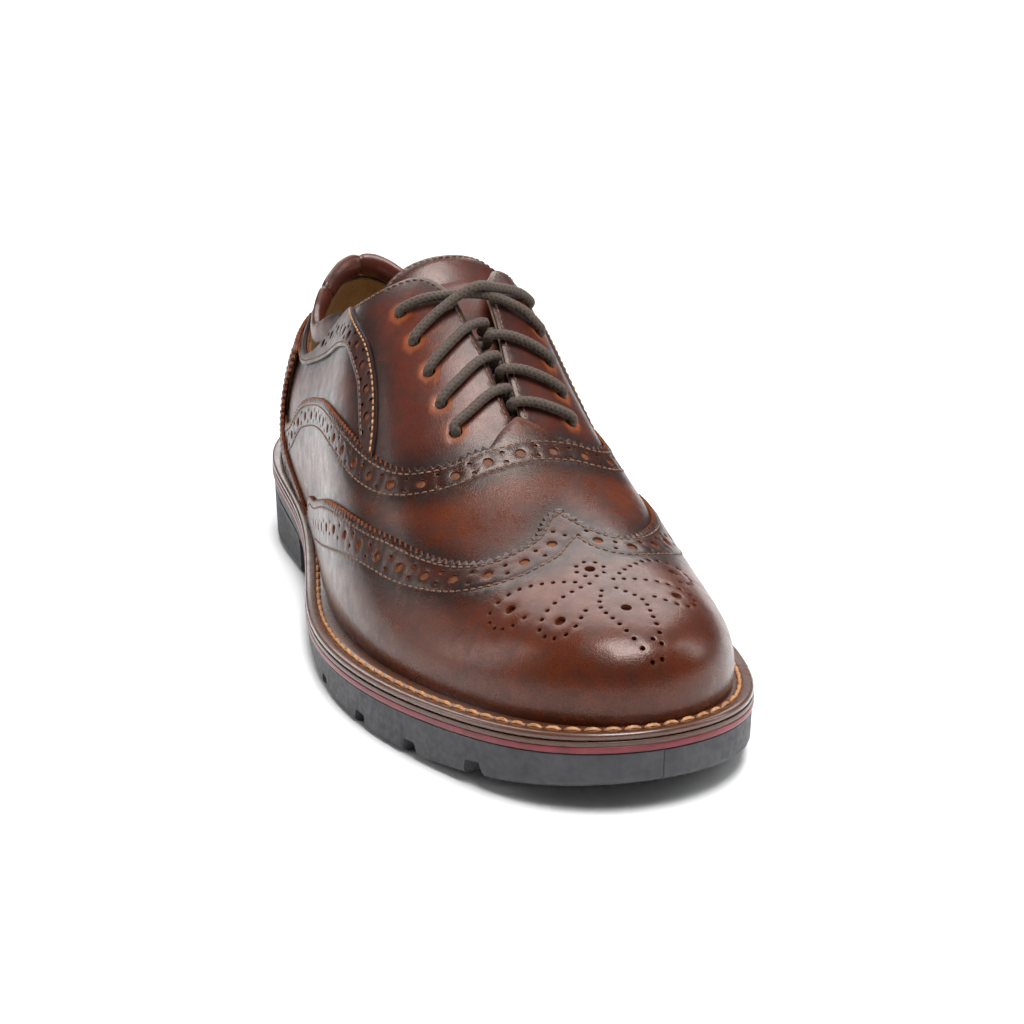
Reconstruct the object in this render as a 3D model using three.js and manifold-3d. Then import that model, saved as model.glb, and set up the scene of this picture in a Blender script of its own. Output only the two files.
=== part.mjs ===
// A right-foot full-brogue oxford shoe, built as separate pieces on one shared last.
// Millimetres, +Z up, toe towards -Y, outer (lateral) side of the foot towards -X.
import * as THREE from 'three';
import { mergeVertices } from 'three/addons/utils/BufferGeometryUtils.js';
import Module from 'manifold-3d';

const wasm = await Module();
wasm.setup();

// ---------------------------------------------------------------- driving dimensions
const SOLE_LENGTH = 305;
const SOLE_HALF = SOLE_LENGTH / 2;
const FEATHER_HALF = 144;
const STATION_DEG = 22.5;
// Puts the middle of the footprint on the origin
const CENTRE_SHIFT = 4.93;
// Half-breadths of the sole edge and of the upper's foot, every 22.5 degrees from the toe tip
// round the outer side to the heel and back along the inner side.
const SOLE_EDGE_X = [1, -29.3, -49.4, -63, -59, -44.2, -40.9, -25.1, 0.3, 26.1, 40, 38, 39.9, 53.2, 48.3,
  30.7];
const FEATHER_X = [1.8, -22.3, -40.1, -51.7, -48.8, -39.3, -35.5, -22.1, -0.3, 21, 32.7, 30.9, 32, 45, 40.6,
  25.5];
// Profiles along the shoe, as [y, value]
const WELT_TOP = [[-152, 25.1], [-108, 20.8], [-48, 17.7], [22, 16.8], [72, 25.7], [152, 35.6]];
const CREST_HEIGHT = [[-150, 38.5], [-119, 49], [-94, 54], [-70, 61.5], [-35, 83.5], [-15, 99.5],
  [5, 113.5],
  [22, 121.5], [60, 119.8], [118, 108.5]];
const CREST_X = [[-150, 3.5], [-60, 1], [40, 1], [150, 1.5]];
const SIDE_RISE = [[-146, 22.3], [-100, 17.4], [-60, 20.7], [-20, 51.5], [20, 63.5], [60, 53.8],
  [100, 41.4],
  [147, 43.4]];
const SIDE_LEAN = [[-146, 3.3], [-100, 1.9], [-60, 3.9], [-20, 5.9], [20, 4.7], [60, 5.6], [100, 5.5],
  [147, 3.7]];
const CREST_REACH = [[-146, 27.5], [-100, 26.7], [-60, 33.1], [-20, 27.3], [20, 33.4], [60, 18.1],
  [100, 9.8],
  [147, 9.6]];
const TREAD_FLAT = [-76, -40];
const TOE_SPRING = 9.5;
const ARCH_RISE = 12;
const ARCH_LENGTH = 112;
const TOE_SPRING_POWER = 1.7;
const ARCH_POWER = 1.6;
const ARCH_END_Y = 40;

// Leather layers, as distances out from the last's reference surface [inside, outside]
const LAYER_LINING = [-3, -1.9];
const LAYER_QUARTER = [-1.1, 0];
const LAYER_VAMP = [0.6, 1.6];
const LAYER_OVERLAY = [2.2, 3.3];
const TONGUE_DROP = 6.9;
const TONGUE_TIP_DROP = 1.8;
const TONGUE_TIP_FROM = 97.5;
const TONGUE_TIP_RUN = 4;
const TONGUE_THICKNESS = 1.1;
const TONGUE_LINING_GAP = 0.4;

const GAP = 0.4;
const WELT_THICKNESS = 2.4;
const MIDSOLE_THICKNESS = 1.4;
const STRIPE_THICKNESS = 1.3;
const SOLE_GAP = 0.3;
const WELT_WIDTH = 12;
const HEEL_BREAST_Y = 70;
const OUTSOLE_HEEL_THICKNESS = 6;
const SHANK = { from: -15, to: 95, halfWidth: 6, low: -1.7, high: -0.7 };
const NAILS = [[-18, 128], [18, 128], [-20, 92], [20, 92]];
const NAIL_RADIUS = 1.6;
const NAIL_HEAD_RADIUS = 3;
const NAIL_HEAD_SEAT = 0.4;
const NAIL_HEAD_DEPTH = 2.4;
const NAIL_TIP_DEPTH = 9;
const NAIL_DRILL_EXTRA = 20;
const TREAD_NOTCH_Y = [-35, -66.5, -93, -119];
const TREAD_NOTCH = { width: 6, depth: 12, height: 4.6 };

const EYELET_RADIUS = 2.1;
const EYELET_DRILL_LENGTH = 8;
const EYELET_DRILL_CENTRE = -1.3;
const LACE_RADIUS = 1.4;
const AGLET_RADIUS = 1.7;
const FOOT_LIFT = 1;
// Eyelets from the top pair down, as [station in degrees, height along the ruling]
const EYELETS = [[93.6, 0.735], [88.9, 0.735], [84.4, 0.74], [80.2, 0.745], [76.2, 0.77]];
const MEDIAL_EYELET_SHIFT = -0.02;

// Edges of the panels on the outer side, as [station in degrees, height along the ruling]
const FACING_EDGE = [[71.5, 0.975], [75.5, 0.966], [80.1, 0.956], [83.7, 0.95], [87.3, 0.942],
  [92.8, 0.93]];
const FRONT_TOPLINE = [[92.8, 0.93], [95.5, 0.896], [97.1, 0.861], [98.1, 0.819], [99.6, 0.741],
  [102.7, 0.656],
  [107, 0.605], [112, 0.573]];
const REAR_TOPLINE = [[113, 0.566], [118, 0.51], [122, 0.45], [126, 0.4], [131.6, 0.37], [140, 0.4],
  [150, 0.48],
  [165, 0.57], [179.6, 0.59]];
const ROLL_CENTRE = [[120, 0.525], [123, 0.49], [126.5, 0.46], [131.6, 0.435], [140, 0.47], [150, 0.55],
  [165, 0.635], [180, 0.655]];
const ROLL = { offset: -1, halfThickness: 3.1, halfHeight: 4.4, endSize: 0.45, steps: 30, sides: 8 };
const BAND_FRONT = [[82, 0.448], [83.2, 0.474], [84.7, 0.5], [87.3, 0.537], [89.9, 0.564], [94, 0.587],
  [98.1, 0.584], [104, 0.578], [110, 0.578]];
const BAND_BACK = [[85.8, 0.415], [87.8, 0.44], [92, 0.49], [95.5, 0.502], [99.1, 0.506], [103.8, 0.479],
  [116.1, 0.402], [123.9, 0.363], [132.6, 0.332], [150, 0.36], [165, 0.4], [179.6, 0.42]];
const QUARTER_SEAM = [[82, 0.34], [84.5, 0.42], [88, 0.49], [92, 0.53], [98, 0.545], [105, 0.535],
  [112, 0.57]];
const QUARTER_LAP = [[71.5, 0.975], [69.5, 0.9], [69, 0.72], [71, 0.55], [76, 0.41], [82, 0.34]];
const BACK_LAP = [[82.6, 0.335], [95, 0.27], [110, 0.19], [124, 0.13], [133, 0.05], [138, 0.012],
  [144, 0], [162, 0],
  [179.6, 0]];
const VAMP_EDGE = [[75.5, 1], [74.9, 0.965], [73.9, 0.919], [72.6, 0.876], [72.9, 0.792], [72.9, 0.718],
  [73.9, 0.645], [75.5, 0.571], [78, 0.502], [82.2, 0.436], [86.8, 0.398], [92.9, 0.367],
  [104.3, 0.324], [116.1, 0.282],
  [123.4, 0.243], [127, 0.201], [131, 0.15], [138, 0.11], [145, 0.1]];
const WING_EDGE = [[60, 1], [59.5, 0.954], [55.3, 0.869], [54.3, 0.757], [55.9, 0.653], [59.5, 0.579],
  [64.1, 0.514],
  [69.3, 0.44], [74.9, 0.347], [81.6, 0.266], [91.4, 0.189], [104, 0.105], [111, 0.069], [113.5, 0.03]];
const WING_EDGE_MEDIAL = [[60, 1], [58.4, 0.973], [55.3, 0.923], [53.3, 0.857], [54.8, 0.761], [60, 0.637],
  [67.7, 0.48], [74.9, 0.36], [81.6, 0.266], [91.4, 0.189], [104, 0.105], [111, 0.069], [113.5, 0.03]];
const COUNTER_FRONT = [[117, 0], [125, 0.03], [133.2, 0.069], [139.8, 0.124], [140.6, 0.216], [139.5, 0.29],
  [140.3, 0.351]];
const COUNTER_TOP = [[140.3, 0.351], [150, 0.385], [165, 0.425], [180, 0.445]];
const LINING_SEAM = [[82, 0], [76, 0.35], [71, 0.6], [69.5, 0.85], [70, 1]];

// ---------------------------------------------------------------- curves and profiles
function naturalSpline(points) {
  const n = points.length;
  const x = points.map((p) => p[0]);
  const y = points.map((p) => p[1]);
  const second = new Array(n).fill(0);
  const work = new Array(n).fill(0);
  for (let i = 1; i < n - 1; i++) {
    const sig = (x[i] - x[i - 1]) / (x[i + 1] - x[i - 1]);
    const p = sig * second[i - 1] + 2;
    const jump = (y[i + 1] - y[i]) / (x[i + 1] - x[i]) - (y[i] - y[i - 1]) / (x[i] - x[i - 1]);
    second[i] = (sig - 1) / p;
    work[i] = ((6 * jump) / (x[i + 1] - x[i - 1]) - sig * work[i - 1]) / p;
  }
  for (let k = n - 2; k >= 0; k--) second[k] = second[k] * second[k + 1] + work[k];
  return (at) => {
    let k = 0;
    while (k < n - 2 && at > x[k + 1]) k++;
    const h = x[k + 1] - x[k];
    const clamped = Math.min(Math.max(at, x[0]), x[n - 1]);
    const a = (x[k + 1] - clamped) / h;
    const b = (clamped - x[k]) / h;
    const curve = ((a ** 3 - a) * second[k] + (b ** 3 - b) * second[k + 1]) * h * h / 6;
    return a * y[k] + b * y[k + 1] + curve;
  };
}

// A closed spline through values at equal stations
function closedSpline(values) {
  const n = values.length;
  const points = [];
  for (let i = -n; i <= 2 * n; i++) points.push([i, values[((i % n) + n) % n]]);
  const spline = naturalSpline(points);
  return (station) => spline(((station % n) + n) % n);
}

const soleEdgeX = closedSpline(SOLE_EDGE_X);
const featherX = closedSpline(FEATHER_X);
const weltTop = naturalSpline(WELT_TOP);
const crestHeight = naturalSpline(CREST_HEIGHT);
const crestX = (y) => CREST_X[0][1] + piecewise(CREST_X, y);
const sideRise = naturalSpline(SIDE_RISE);
const sideLean = naturalSpline(SIDE_LEAN);
const crestReach = naturalSpline(CREST_REACH);

// Underside of the outsole: flat under the ball, rising to the toe and into the arch
function treadHeight(y) {
  const toeLength = SOLE_HALF + TREAD_FLAT[0];
  if (y < TREAD_FLAT[0]) return TOE_SPRING * ((TREAD_FLAT[0] - y) / toeLength) ** TOE_SPRING_POWER;
  if (y > TREAD_FLAT[1]) return ARCH_RISE * ((y - TREAD_FLAT[1]) / ARCH_LENGTH) ** ARCH_POWER;
  return 0;
}

// Straight interpolation, measured from the first value
function piecewise(points, at) {
  for (let i = 1; i < points.length; i++) {
    if (at <= points[i][0] || i === points.length - 1) {
      const t = Math.min(Math.max((at - points[i - 1][0]) / (points[i][0] - points[i - 1][0]), 0), 1);
      return points[i - 1][1] + t * (points[i][1] - points[i - 1][1]) - points[0][1];
    }
  }
  return 0;
}

const radians = (degrees) => degrees * Math.PI / 180;

function soleEdge(phi) {
  return new THREE.Vector2(soleEdgeX(phi / STATION_DEG), -SOLE_HALF * Math.cos(radians(phi)));
}

function featherEdge(phi) {
  return new THREE.Vector2(featherX(phi / STATION_DEG), -0.3 - FEATHER_HALF * Math.cos(radians(phi)));
}

// Moves a point of a plan outline inwards, square to the outline
function insetPoint(edge, phi, inset) {
  const step = 0.5;
  const tangent = edge(phi + step).sub(edge(phi - step)).normalize();
  const p = edge(phi);
  return new THREE.Vector2(p.x + tangent.y * inset, p.y - tangent.x * inset);
}

// ---------------------------------------------------------------- the last
// phi is the station round the plan in degrees: 0 toe, + outer side, - inner side, 180 heel.
// v runs from the welt (0) up to the centre line on top of the last (1).
function crestStation(y) {
  if (y < -60) return -60 - ((-60 - y) - 0.0052 * (-60 - y) ** 2);
  if (y > 80) return 80 + (y - 80) - 0.0065 * (y - 80) ** 2;
  return y;
}

function crestSlope(y) {
  return (crestHeight(y + 0.5) - crestHeight(y - 0.5));
}

function lastPoint(phi, v) {
  const f = featherEdge(phi);
  const foot = new THREE.Vector3(f.x, f.y, weltTop(f.y) + FOOT_LIFT);
  const cy = crestStation(f.y);
  const crest = new THREE.Vector3(crestX(cy), cy, crestHeight(cy));
  const out = new THREE.Vector2(foot.x - crest.x, foot.y - crest.y).normalize();
  const lean = sideLean(f.y);
  const reach = crestReach(f.y);
  const p1 = foot.clone().add(new THREE.Vector3(out.x * lean, out.y * lean, sideRise(f.y)));
  const p2 = crest.clone().add(new THREE.Vector3(out.x, out.y, crestSlope(cy) * out.y).multiplyScalar(reach));
  return new THREE.CubicBezierCurve3(foot, p1, p2, crest).getPoint(v);
}

function lastNormal(phi, v) {
  const at = Math.min(Math.max(v, 0.004), 0.985);
  const around = lastPoint(phi + 0.06, at).sub(lastPoint(phi - 0.06, at));
  const upward = lastPoint(phi, at + 0.001).sub(lastPoint(phi, at - 0.001));
  const normal = upward.cross(around).normalize();
  const blend = Math.max(0, (v - 0.96) / 0.04);
  const cy = crestStation(featherEdge(phi).y);
  const top = new THREE.Vector3(0, -crestSlope(cy), 1).normalize();
  return normal.lerp(top, Math.min(blend, 1)).normalize();
}

function onLast(phi, v, offset) {
  return lastPoint(phi, v).addScaledVector(lastNormal(phi, v), offset);
}

// ---------------------------------------------------------------- geometry from triangles
function geometryFrom(positions, triangles) {
  const geometry = new THREE.BufferGeometry();
  geometry.setAttribute('position', new THREE.Float32BufferAttribute(positions, 3));
  geometry.setIndex(triangles);
  return geometry;
}

function toSolid(geometry) {
  const bare = geometry.clone();
  bare.deleteAttribute('normal');
  bare.deleteAttribute('uv');
  const merged = mergeVertices(bare, 1e-3);
  const vertProperties = new Float32Array(merged.attributes.position.array);
  const triVerts = new Uint32Array(merged.index.array);
  return new wasm.Manifold(new wasm.Mesh({ numProp: 3, vertProperties, triVerts }));
}

function toGeometry(solid) {
  const mesh = solid.getMesh();
  return geometryFrom(Array.from(mesh.vertProperties), Array.from(mesh.triVerts));
}

function cut(geometry, tools) {
  let solid = toSolid(geometry);
  for (const tool of tools) solid = solid.subtract(toSolid(tool));
  return toGeometry(solid);
}

// ---------------------------------------------------------------- leather panels
// About how many millimetres the ruling from welt to centre line counts for
const RULING_SCALE = 80;

function edgeCurve(points, side) {
  const knots = points.map(([phi, v]) => new THREE.Vector3(side * phi, v * RULING_SCALE, 0));
  return new THREE.CatmullRomCurve3(knots, false, 'centripetal');
}

function along(curve, t) {
  const p = curve.getPointAt(t);
  return [p.x, p.y / RULING_SCALE];
}

// A grid of [phi, v] between four boundary curves that meet at their corners
function coonsGrid(edges, side, columns, rows) {
  const [bottom, top, left, right] = edges.map((points) => edgeCurve(points, side));
  const corner = [along(bottom, 0), along(bottom, 1), along(top, 0), along(top, 1)];
  const grid = [];
  for (let i = 0; i <= columns; i++) {
    const s = i / columns;
    const low = along(bottom, s);
    const high = along(top, s);
    const column = [];
    for (let j = 0; j <= rows; j++) {
      const t = j / rows;
      const near = along(left, t);
      const far = along(right, t);
      column.push([0, 1].map((k) => (1 - t) * low[k] + t * high[k] + (1 - s) * near[k] + s * far[k]
        - (1 - s) * (1 - t) * corner[0][k] - s * (1 - t) * corner[1][k]
        - (1 - s) * t * corner[2][k] - s * t * corner[3][k]));
      column[j][1] = Math.min(Math.max(column[j][1], 0), 1);
    }
    grid.push(column);
  }
  return grid;
}

// Joins [phi, v] grids into one sheet, welding points that land on the same place of the last
function weldGrids(grids) {
  const stations = [];
  const faces = [];
  const seen = new Map();
  const indexOf = ([phi, v]) => {
    const p = lastPoint(phi, v);
    const key = [p.x, p.y, p.z].map((c) => Math.round(c * 50)).join(' ');
    if (!seen.has(key)) {
      seen.set(key, stations.length);
      stations.push([phi, v]);
    }
    return seen.get(key);
  };
  for (const { grid, flipped } of grids) {
    for (let i = 0; i + 1 < grid.length; i++) {
      for (let j = 0; j + 1 < grid[i].length; j++) {
        const quad = [grid[i][j], grid[i + 1][j], grid[i + 1][j + 1], grid[i][j + 1]].map(indexOf);
        if (!flipped) quad.reverse();
        for (const tri of [[quad[0], quad[1], quad[2]], [quad[0], quad[2], quad[3]]]) {
          if (new Set(tri).size === 3) faces.push(tri);
        }
      }
    }
  }
  return { stations, faces };
}

// Gives a sheet on the last its thickness, with a wall along every open edge
function thickPanel(sheet, inner, outer) {
  const { stations, faces } = sheet;
  const count = stations.length;
  const depth = (layer, station) => (typeof layer === 'function' ? layer(...station) : layer);
  const outside = stations.map((s) => onLast(s[0], s[1], depth(outer, s)));
  const inside = stations.map((s) => onLast(s[0], s[1], depth(inner, s)));
  const positions = [...outside, ...inside].flatMap((p) => [p.x, p.y, p.z]);
  const used = new Set();
  for (const f of faces) for (let k = 0; k < 3; k++) used.add(f[k] + ' ' + f[(k + 1) % 3]);
  const triangles = [];
  for (const [a, b, c] of faces) {
    triangles.push(a, b, c, a + count, c + count, b + count);
    for (const [p, q] of [[a, b], [b, c], [c, a]]) {
      if (!used.has(q + ' ' + p)) triangles.push(q, p, p + count, q, p + count, q + count);
    }
  }
  return geometryFrom(positions, triangles);
}

// side +1 is the outer side of the foot, -1 the inner side
function sidePanel(edges, side, columns, rows, layer) {
  const sheet = weldGrids([{ grid: coonsGrid(edges, side, columns, rows), flipped: side < 0 }]);
  return thickPanel(sheet, layer[0], layer[1]);
}

function wholePanel(edges, medialEdges, columns, rows, layer) {
  const sheet = weldGrids([
    { grid: coonsGrid(edges, 1, columns, rows), flipped: false },
    { grid: coonsGrid(medialEdges, -1, columns, rows), flipped: true },
  ]);
  return thickPanel(sheet, layer[0], layer[1]);
}

const joined = (...lists) => lists.flatMap((list, i) => (i === 0 ? list : list.slice(1)));
const reversed = (list) => [...list].reverse();
const firstOf = (list) => list[0];
const lastOf = (list) => list[list.length - 1];
const toeLine = [[0, 0], [0, 0.5], [0, 1]];
const crestLine = (from, to) => [[from, 1], [(2 * from + to) / 3, 1], [(from + 2 * to) / 3, 1], [to, 1]];
const footLine = (from, to) => [[from, 0], [(2 * from + to) / 3, 0], [(from + 2 * to) / 3, 0], [to, 0]];
const straight = (a, b) => [a, [(a[0] + b[0]) / 2, (a[1] + b[1]) / 2], b];
const nudge = (list, dPhi, dV) => list.map(([phi, v]) => [phi + dPhi, v + dV]);

// ---------------------------------------------------------------- sole pieces
const RUNGS = 28;

// Pairs of outline points, one on each side, from the heel to the toe
function rungs(edge, inset, fromPhi, toPhi) {
  const list = [];
  for (let i = 0; i <= RUNGS; i++) {
    const phi = fromPhi + (toPhi - fromPhi) * i / RUNGS;
    list.push([insetPoint(edge, phi, inset), insetPoint(edge, -phi, inset)]);
  }
  return list;
}

// A slab lofted through levels of rungs, each with its own height along the shoe
function soleSlab(levels) {
  const positions = [];
  const triangles = [];
  const rows = levels[0].rungs.length;
  const node = (level, row, side) => (level * rows + row) * 2 + side;
  for (const level of levels) {
    for (const pair of level.rungs) for (const p of pair) positions.push(p.x, p.y, level.height(p.y));
  }
  const quad = (a, b, c, d) => triangles.push(a, b, c, a, c, d);
  const top = levels.length - 1;
  for (let r = 0; r + 1 < rows; r++) {
    quad(node(top, r, 0), node(top, r + 1, 0), node(top, r + 1, 1), node(top, r, 1));
    quad(node(0, r, 1), node(0, r + 1, 1), node(0, r + 1, 0), node(0, r, 0));
    for (let k = 0; k < top; k++) {
      quad(node(k, r, 0), node(k, r + 1, 0), node(k + 1, r + 1, 0), node(k + 1, r, 0));
      quad(node(k + 1, r, 1), node(k + 1, r + 1, 1), node(k, r + 1, 1), node(k, r, 1));
    }
  }
  for (let k = 0; k < top; k++) {
    quad(node(k, 0, 1), node(k, 0, 0), node(k + 1, 0, 0), node(k + 1, 0, 1));
    quad(node(k, rows - 1, 0), node(k, rows - 1, 1), node(k + 1, rows - 1, 1), node(k + 1, rows - 1, 0));
  }
  return tidy(geometryFrom(positions, triangles));
}

// Welds equal points and drops the triangles that vanish at the toe and heel tips
function tidy(geometry) {
  const merged = mergeVertices(geometry, 1e-3);
  const index = merged.index.array;
  const kept = [];
  for (let i = 0; i < index.length; i += 3) {
    const tri = [index[i], index[i + 1], index[i + 2]];
    if (new Set(tri).size === 3) kept.push(...tri);
  }
  merged.setIndex(kept);
  return merged;
}

const level = (edge, inset, height, from = 180, to = 0) => ({ rungs: rungs(edge, inset, from, to), height });
const below = (drop) => (y) => weltTop(y) - drop;

function flatSlab(edge, inset, topDrop, thickness) {
  return soleSlab([level(edge, inset, below(topDrop + thickness)), level(edge, inset, below(topDrop))]);
}

// A closed band that follows the sole edge, from a section of [inset, height above the welt top]
function edgeRing(section) {
  const stations = 2 * RUNGS;
  const positions = [];
  const triangles = [];
  for (let i = 0; i < stations; i++) {
    const phi = -180 + 360 * i / stations;
    for (const [inset, rise] of section) {
      const p = insetPoint(soleEdge, phi, inset);
      positions.push(p.x, p.y, weltTop(p.y) + rise);
    }
  }
  const n = section.length;
  for (let i = 0; i < stations; i++) {
    const next = (i + 1) % stations;
    for (let k = 0; k < n; k++) {
      const l = (k + 1) % n;
      triangles.push(i * n + k, i * n + l, next * n + l, i * n + k, next * n + l, next * n + k);
    }
  }
  return geometryFrom(positions, triangles);
}

const MIDSOLE_DROP = WELT_THICKNESS + SOLE_GAP;
const STRIPE_DROP = MIDSOLE_DROP + MIDSOLE_THICKNESS + SOLE_GAP;
const OUTSOLE_DROP = STRIPE_DROP + STRIPE_THICKNESS + SOLE_GAP;

function box(width, depth, height, x, y, z, turn = 0) {
  const geometry = new THREE.BoxGeometry(width, depth, height);
  geometry.rotateZ(turn);
  geometry.translate(x, y, z);
  return geometry;
}

function notchTools() {
  const tools = [];
  for (const y of TREAD_NOTCH_Y) {
    for (const side of [1, -1]) {
      const phi = side * Math.acos(-y / SOLE_HALF) * 180 / Math.PI;
      const edge = insetPoint(soleEdge, phi, 0);
      const probe = insetPoint(soleEdge, phi, 10);
      const turn = Math.atan2(edge.y - probe.y, edge.x - probe.x);
      const height = 2 * (TREAD_NOTCH.height + treadHeight(y));
      tools.push(box(2 * TREAD_NOTCH.depth, TREAD_NOTCH.width, height, edge.x, edge.y, 0, turn));
    }
  }
  return tools;
}

function outsoleShape() {
  const heel = (y) => weltTop(y) - OUTSOLE_DROP - OUTSOLE_HEEL_THICKNESS;
  const under = (y) => (y > ARCH_END_Y ? heel(y) : Math.min(treadHeight(y), heel(y)));
  const body = soleSlab([
    level(soleEdge, 2.6, under),
    level(soleEdge, 0.6, (y) => under(y) + 2.4),
    level(soleEdge, 0.4, below(OUTSOLE_DROP)),
  ]);
  return cut(body, [...notchTools(), ...NAILS.map((nail) => nailShape(nail, GAP, NAIL_DRILL_EXTRA))]);
}

function heelShape() {
  const from = 180;
  const to = 180 - Math.acos(HEEL_BREAST_Y / SOLE_HALF) * 180 / Math.PI;
  const top = (y) => weltTop(y) - OUTSOLE_DROP - OUTSOLE_HEEL_THICKNESS - SOLE_GAP;
  const body = soleSlab([
    level(soleEdge, 3.2, () => 0, from, to),
    level(soleEdge, 1.4, () => 2, from, to),
    level(soleEdge, 0.6, top, from, to),
  ]);
  return cut(body, NAILS.map((nail) => nailShape(nail, GAP, NAIL_DRILL_EXTRA)));
}

// A heel nail with a flat head in the outsole and its shank down in the heel block
function nailShape([x, y], clearance, extra) {
  const seat = weltTop(y) - OUTSOLE_DROP;
  const headLow = seat - NAIL_HEAD_DEPTH - clearance;
  const tip = seat - OUTSOLE_HEEL_THICKNESS - NAIL_TIP_DEPTH - clearance;
  const r = NAIL_RADIUS + clearance;
  const head = NAIL_HEAD_RADIUS + clearance;
  const topZ = seat - NAIL_HEAD_SEAT + extra;
  const shankProfile = [[0, tip], [r * 0.4, tip], [r, tip + 2], [r, headLow]];
  const profile = [...shankProfile, [head, headLow], [head, topZ], [0, topZ]]
    .map(([a, b]) => new THREE.Vector2(a, b));
  const geometry = new THREE.LatheGeometry(profile, 8);
  geometry.rotateX(Math.PI / 2);
  geometry.translate(x, y, 0);
  return tidyLathe(geometry);
}

function tidyLathe(geometry) {
  geometry.deleteAttribute('normal');
  geometry.deleteAttribute('uv');
  return tidy(geometry);
}

function shankStrip(grow, low, high) {
  const from = SHANK.from - grow;
  const to = SHANK.to + grow;
  const half = SHANK.halfWidth + grow;
  const list = [];
  for (let i = 0; i <= RUNGS; i++) {
    const y = to + (from - to) * i / RUNGS;
    list.push([new THREE.Vector2(-half, y), new THREE.Vector2(half, y)]);
  }
  return soleSlab([{ rungs: list, height: below(-low) }, { rungs: list, height: below(-high) }]);
}

function corkShape() {
  const body = flatSlab(soleEdge, WELT_WIDTH + GAP, -0.1, WELT_THICKNESS + 0.1);
  return cut(body, [shankStrip(GAP, SHANK.low - GAP, 6)]);
}

// ---------------------------------------------------------------- eyelets and lace
function eyeletAt(row, side) {
  const [phi, v] = EYELETS[row];
  return [side * phi, v + (side < 0 ? MEDIAL_EYELET_SHIFT : 0)];
}

function eyeletDrills(side) {
  return EYELETS.map((_, row) => {
    const [phi, v] = eyeletAt(row, side);
    const centre = onLast(phi, v, EYELET_DRILL_CENTRE);
    const axis = lastNormal(phi, v);
    const drill = new THREE.CylinderGeometry(EYELET_RADIUS, EYELET_RADIUS, EYELET_DRILL_LENGTH, 8);
    drill.applyQuaternion(new THREE.Quaternion().setFromUnitVectors(new THREE.Vector3(0, 1, 0), axis));
    drill.translate(centre.x, centre.y, centre.z);
    return tidyLathe(drill);
  });
}

// Heights of the lace's centre line over the reference surface
const LACE_UNDER = -4.7;
const LACE_OVER = 1.9;
const LACE_RIDE = 2.3;
const DIVE_TOP = 1;
const DIVE_BOTTOM = -3.6;
const DIVE_APART = 0.9;
const TOP_CROSSING = [2.6, 6];

// One strand: out of an eyelet, over its facing, down the gap and under the other facing
function lacePass(row, side) {
  const [phi, v] = eyeletAt(row, side);
  const from = Math.abs(phi);
  const to = EYELETS[row - 1][0];
  const dive = (from + to) / 2 + side * DIVE_APART;
  return [
    [phi, v, LACE_UNDER], [phi, v, LACE_OVER],
    [side * (0.6 * from + 0.4 * dive), 0.835, LACE_RIDE],
    [side * (0.15 * from + 0.85 * dive), 0.93, LACE_RIDE],
    [side * dive, 1, DIVE_TOP], [side * dive, 1, DIVE_BOTTOM],
    [-side * (0.2 * to + 0.8 * dive), 0.92, LACE_UNDER],
    [-side * (0.6 * to + 0.4 * dive), 0.83, LACE_UNDER],
  ];
}

// The strand that stays outside between the two top pairs
function topPass(side) {
  const [phi, v] = eyeletAt(1, side);
  const [phiTo, vTo] = eyeletAt(0, -side);
  const from = Math.abs(phi);
  const to = Math.abs(phiTo);
  const middle = (from + to) / 2;
  const height = TOP_CROSSING[side > 0 ? 1 : 0];
  const shoulder = (LACE_RIDE + height) / 2;
  return [
    [phi, v, LACE_UNDER], [phi, v, LACE_OVER],
    [side * (0.6 * from + 0.4 * middle), 0.83, LACE_RIDE + 0.3],
    [side * (0.2 * from + 0.8 * middle), 0.93, shoulder],
    [side * middle, 1, height],
    [-side * (0.2 * to + 0.8 * middle), 0.93, shoulder],
    [-side * (0.6 * to + 0.4 * middle), 0.83, LACE_RIDE + 0.3],
    [phiTo, vTo, LACE_OVER], [phiTo, vTo, LACE_UNDER],
  ];
}

const LACE_BAR = [[75.6, 0.86], [75, 0.93], [74.8, 1], [-75, 0.93], [-75.6, 0.86]];
const LACE_TAIL = [[2, 0.65], [5, 0.57], [10, 0.48], [16, 0.37], [19, 0.3]];
const AGLET_TAIL = [[19.8, 0.28], [22.5, 0.2]];

function tailPoint(side, [dPhi, v]) {
  return [side * (EYELETS[0][0] + dPhi), v, LACE_UNDER];
}

function laceRoute() {
  const half = (start) => {
    const points = [];
    let side = start;
    for (let row = EYELETS.length - 1; row >= 2; row--) {
      points.push(...lacePass(row, side));
      side = -side;
    }
    points.push(...topPass(side));
    for (const tail of LACE_TAIL) points.push(tailPoint(-side, tail));
    return points;
  };
  const bar = LACE_BAR.map(([phi, v]) => [phi, v, LACE_UNDER + 0.2]);
  const knots = [...reversed(half(-1)), ...reversed(bar), ...half(1)];
  return knots.map(([phi, v, offset]) => onLast(phi, v, offset));
}

// A path that is stepped knot by knot, so that every knot is met exactly
class KnotPath extends THREE.CatmullRomCurve3 {
  getPointAt(t) {
    return this.getPoint(t);
  }

  getTangentAt(t) {
    return this.getTangent(t);
  }

  getSpacedPoints(divisions) {
    return this.getPoints(divisions);
  }
}

function cordShape(knots, radius, steps, sides) {
  const path = new KnotPath(knots, false, 'centripetal');
  const section = new THREE.Shape();
  for (let k = 0; k < sides; k++) {
    const a = 2 * Math.PI * k / sides;
    if (k === 0) section.moveTo(radius, 0);
    else section.lineTo(radius * Math.cos(a), radius * Math.sin(a));
  }
  section.closePath();
  return new THREE.ExtrudeGeometry(section, { steps, bevelEnabled: false, extrudePath: path });
}

function laceShape() {
  const knots = laceRoute();
  return cordShape(knots, LACE_RADIUS, knots.length - 1, 8);
}

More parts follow.
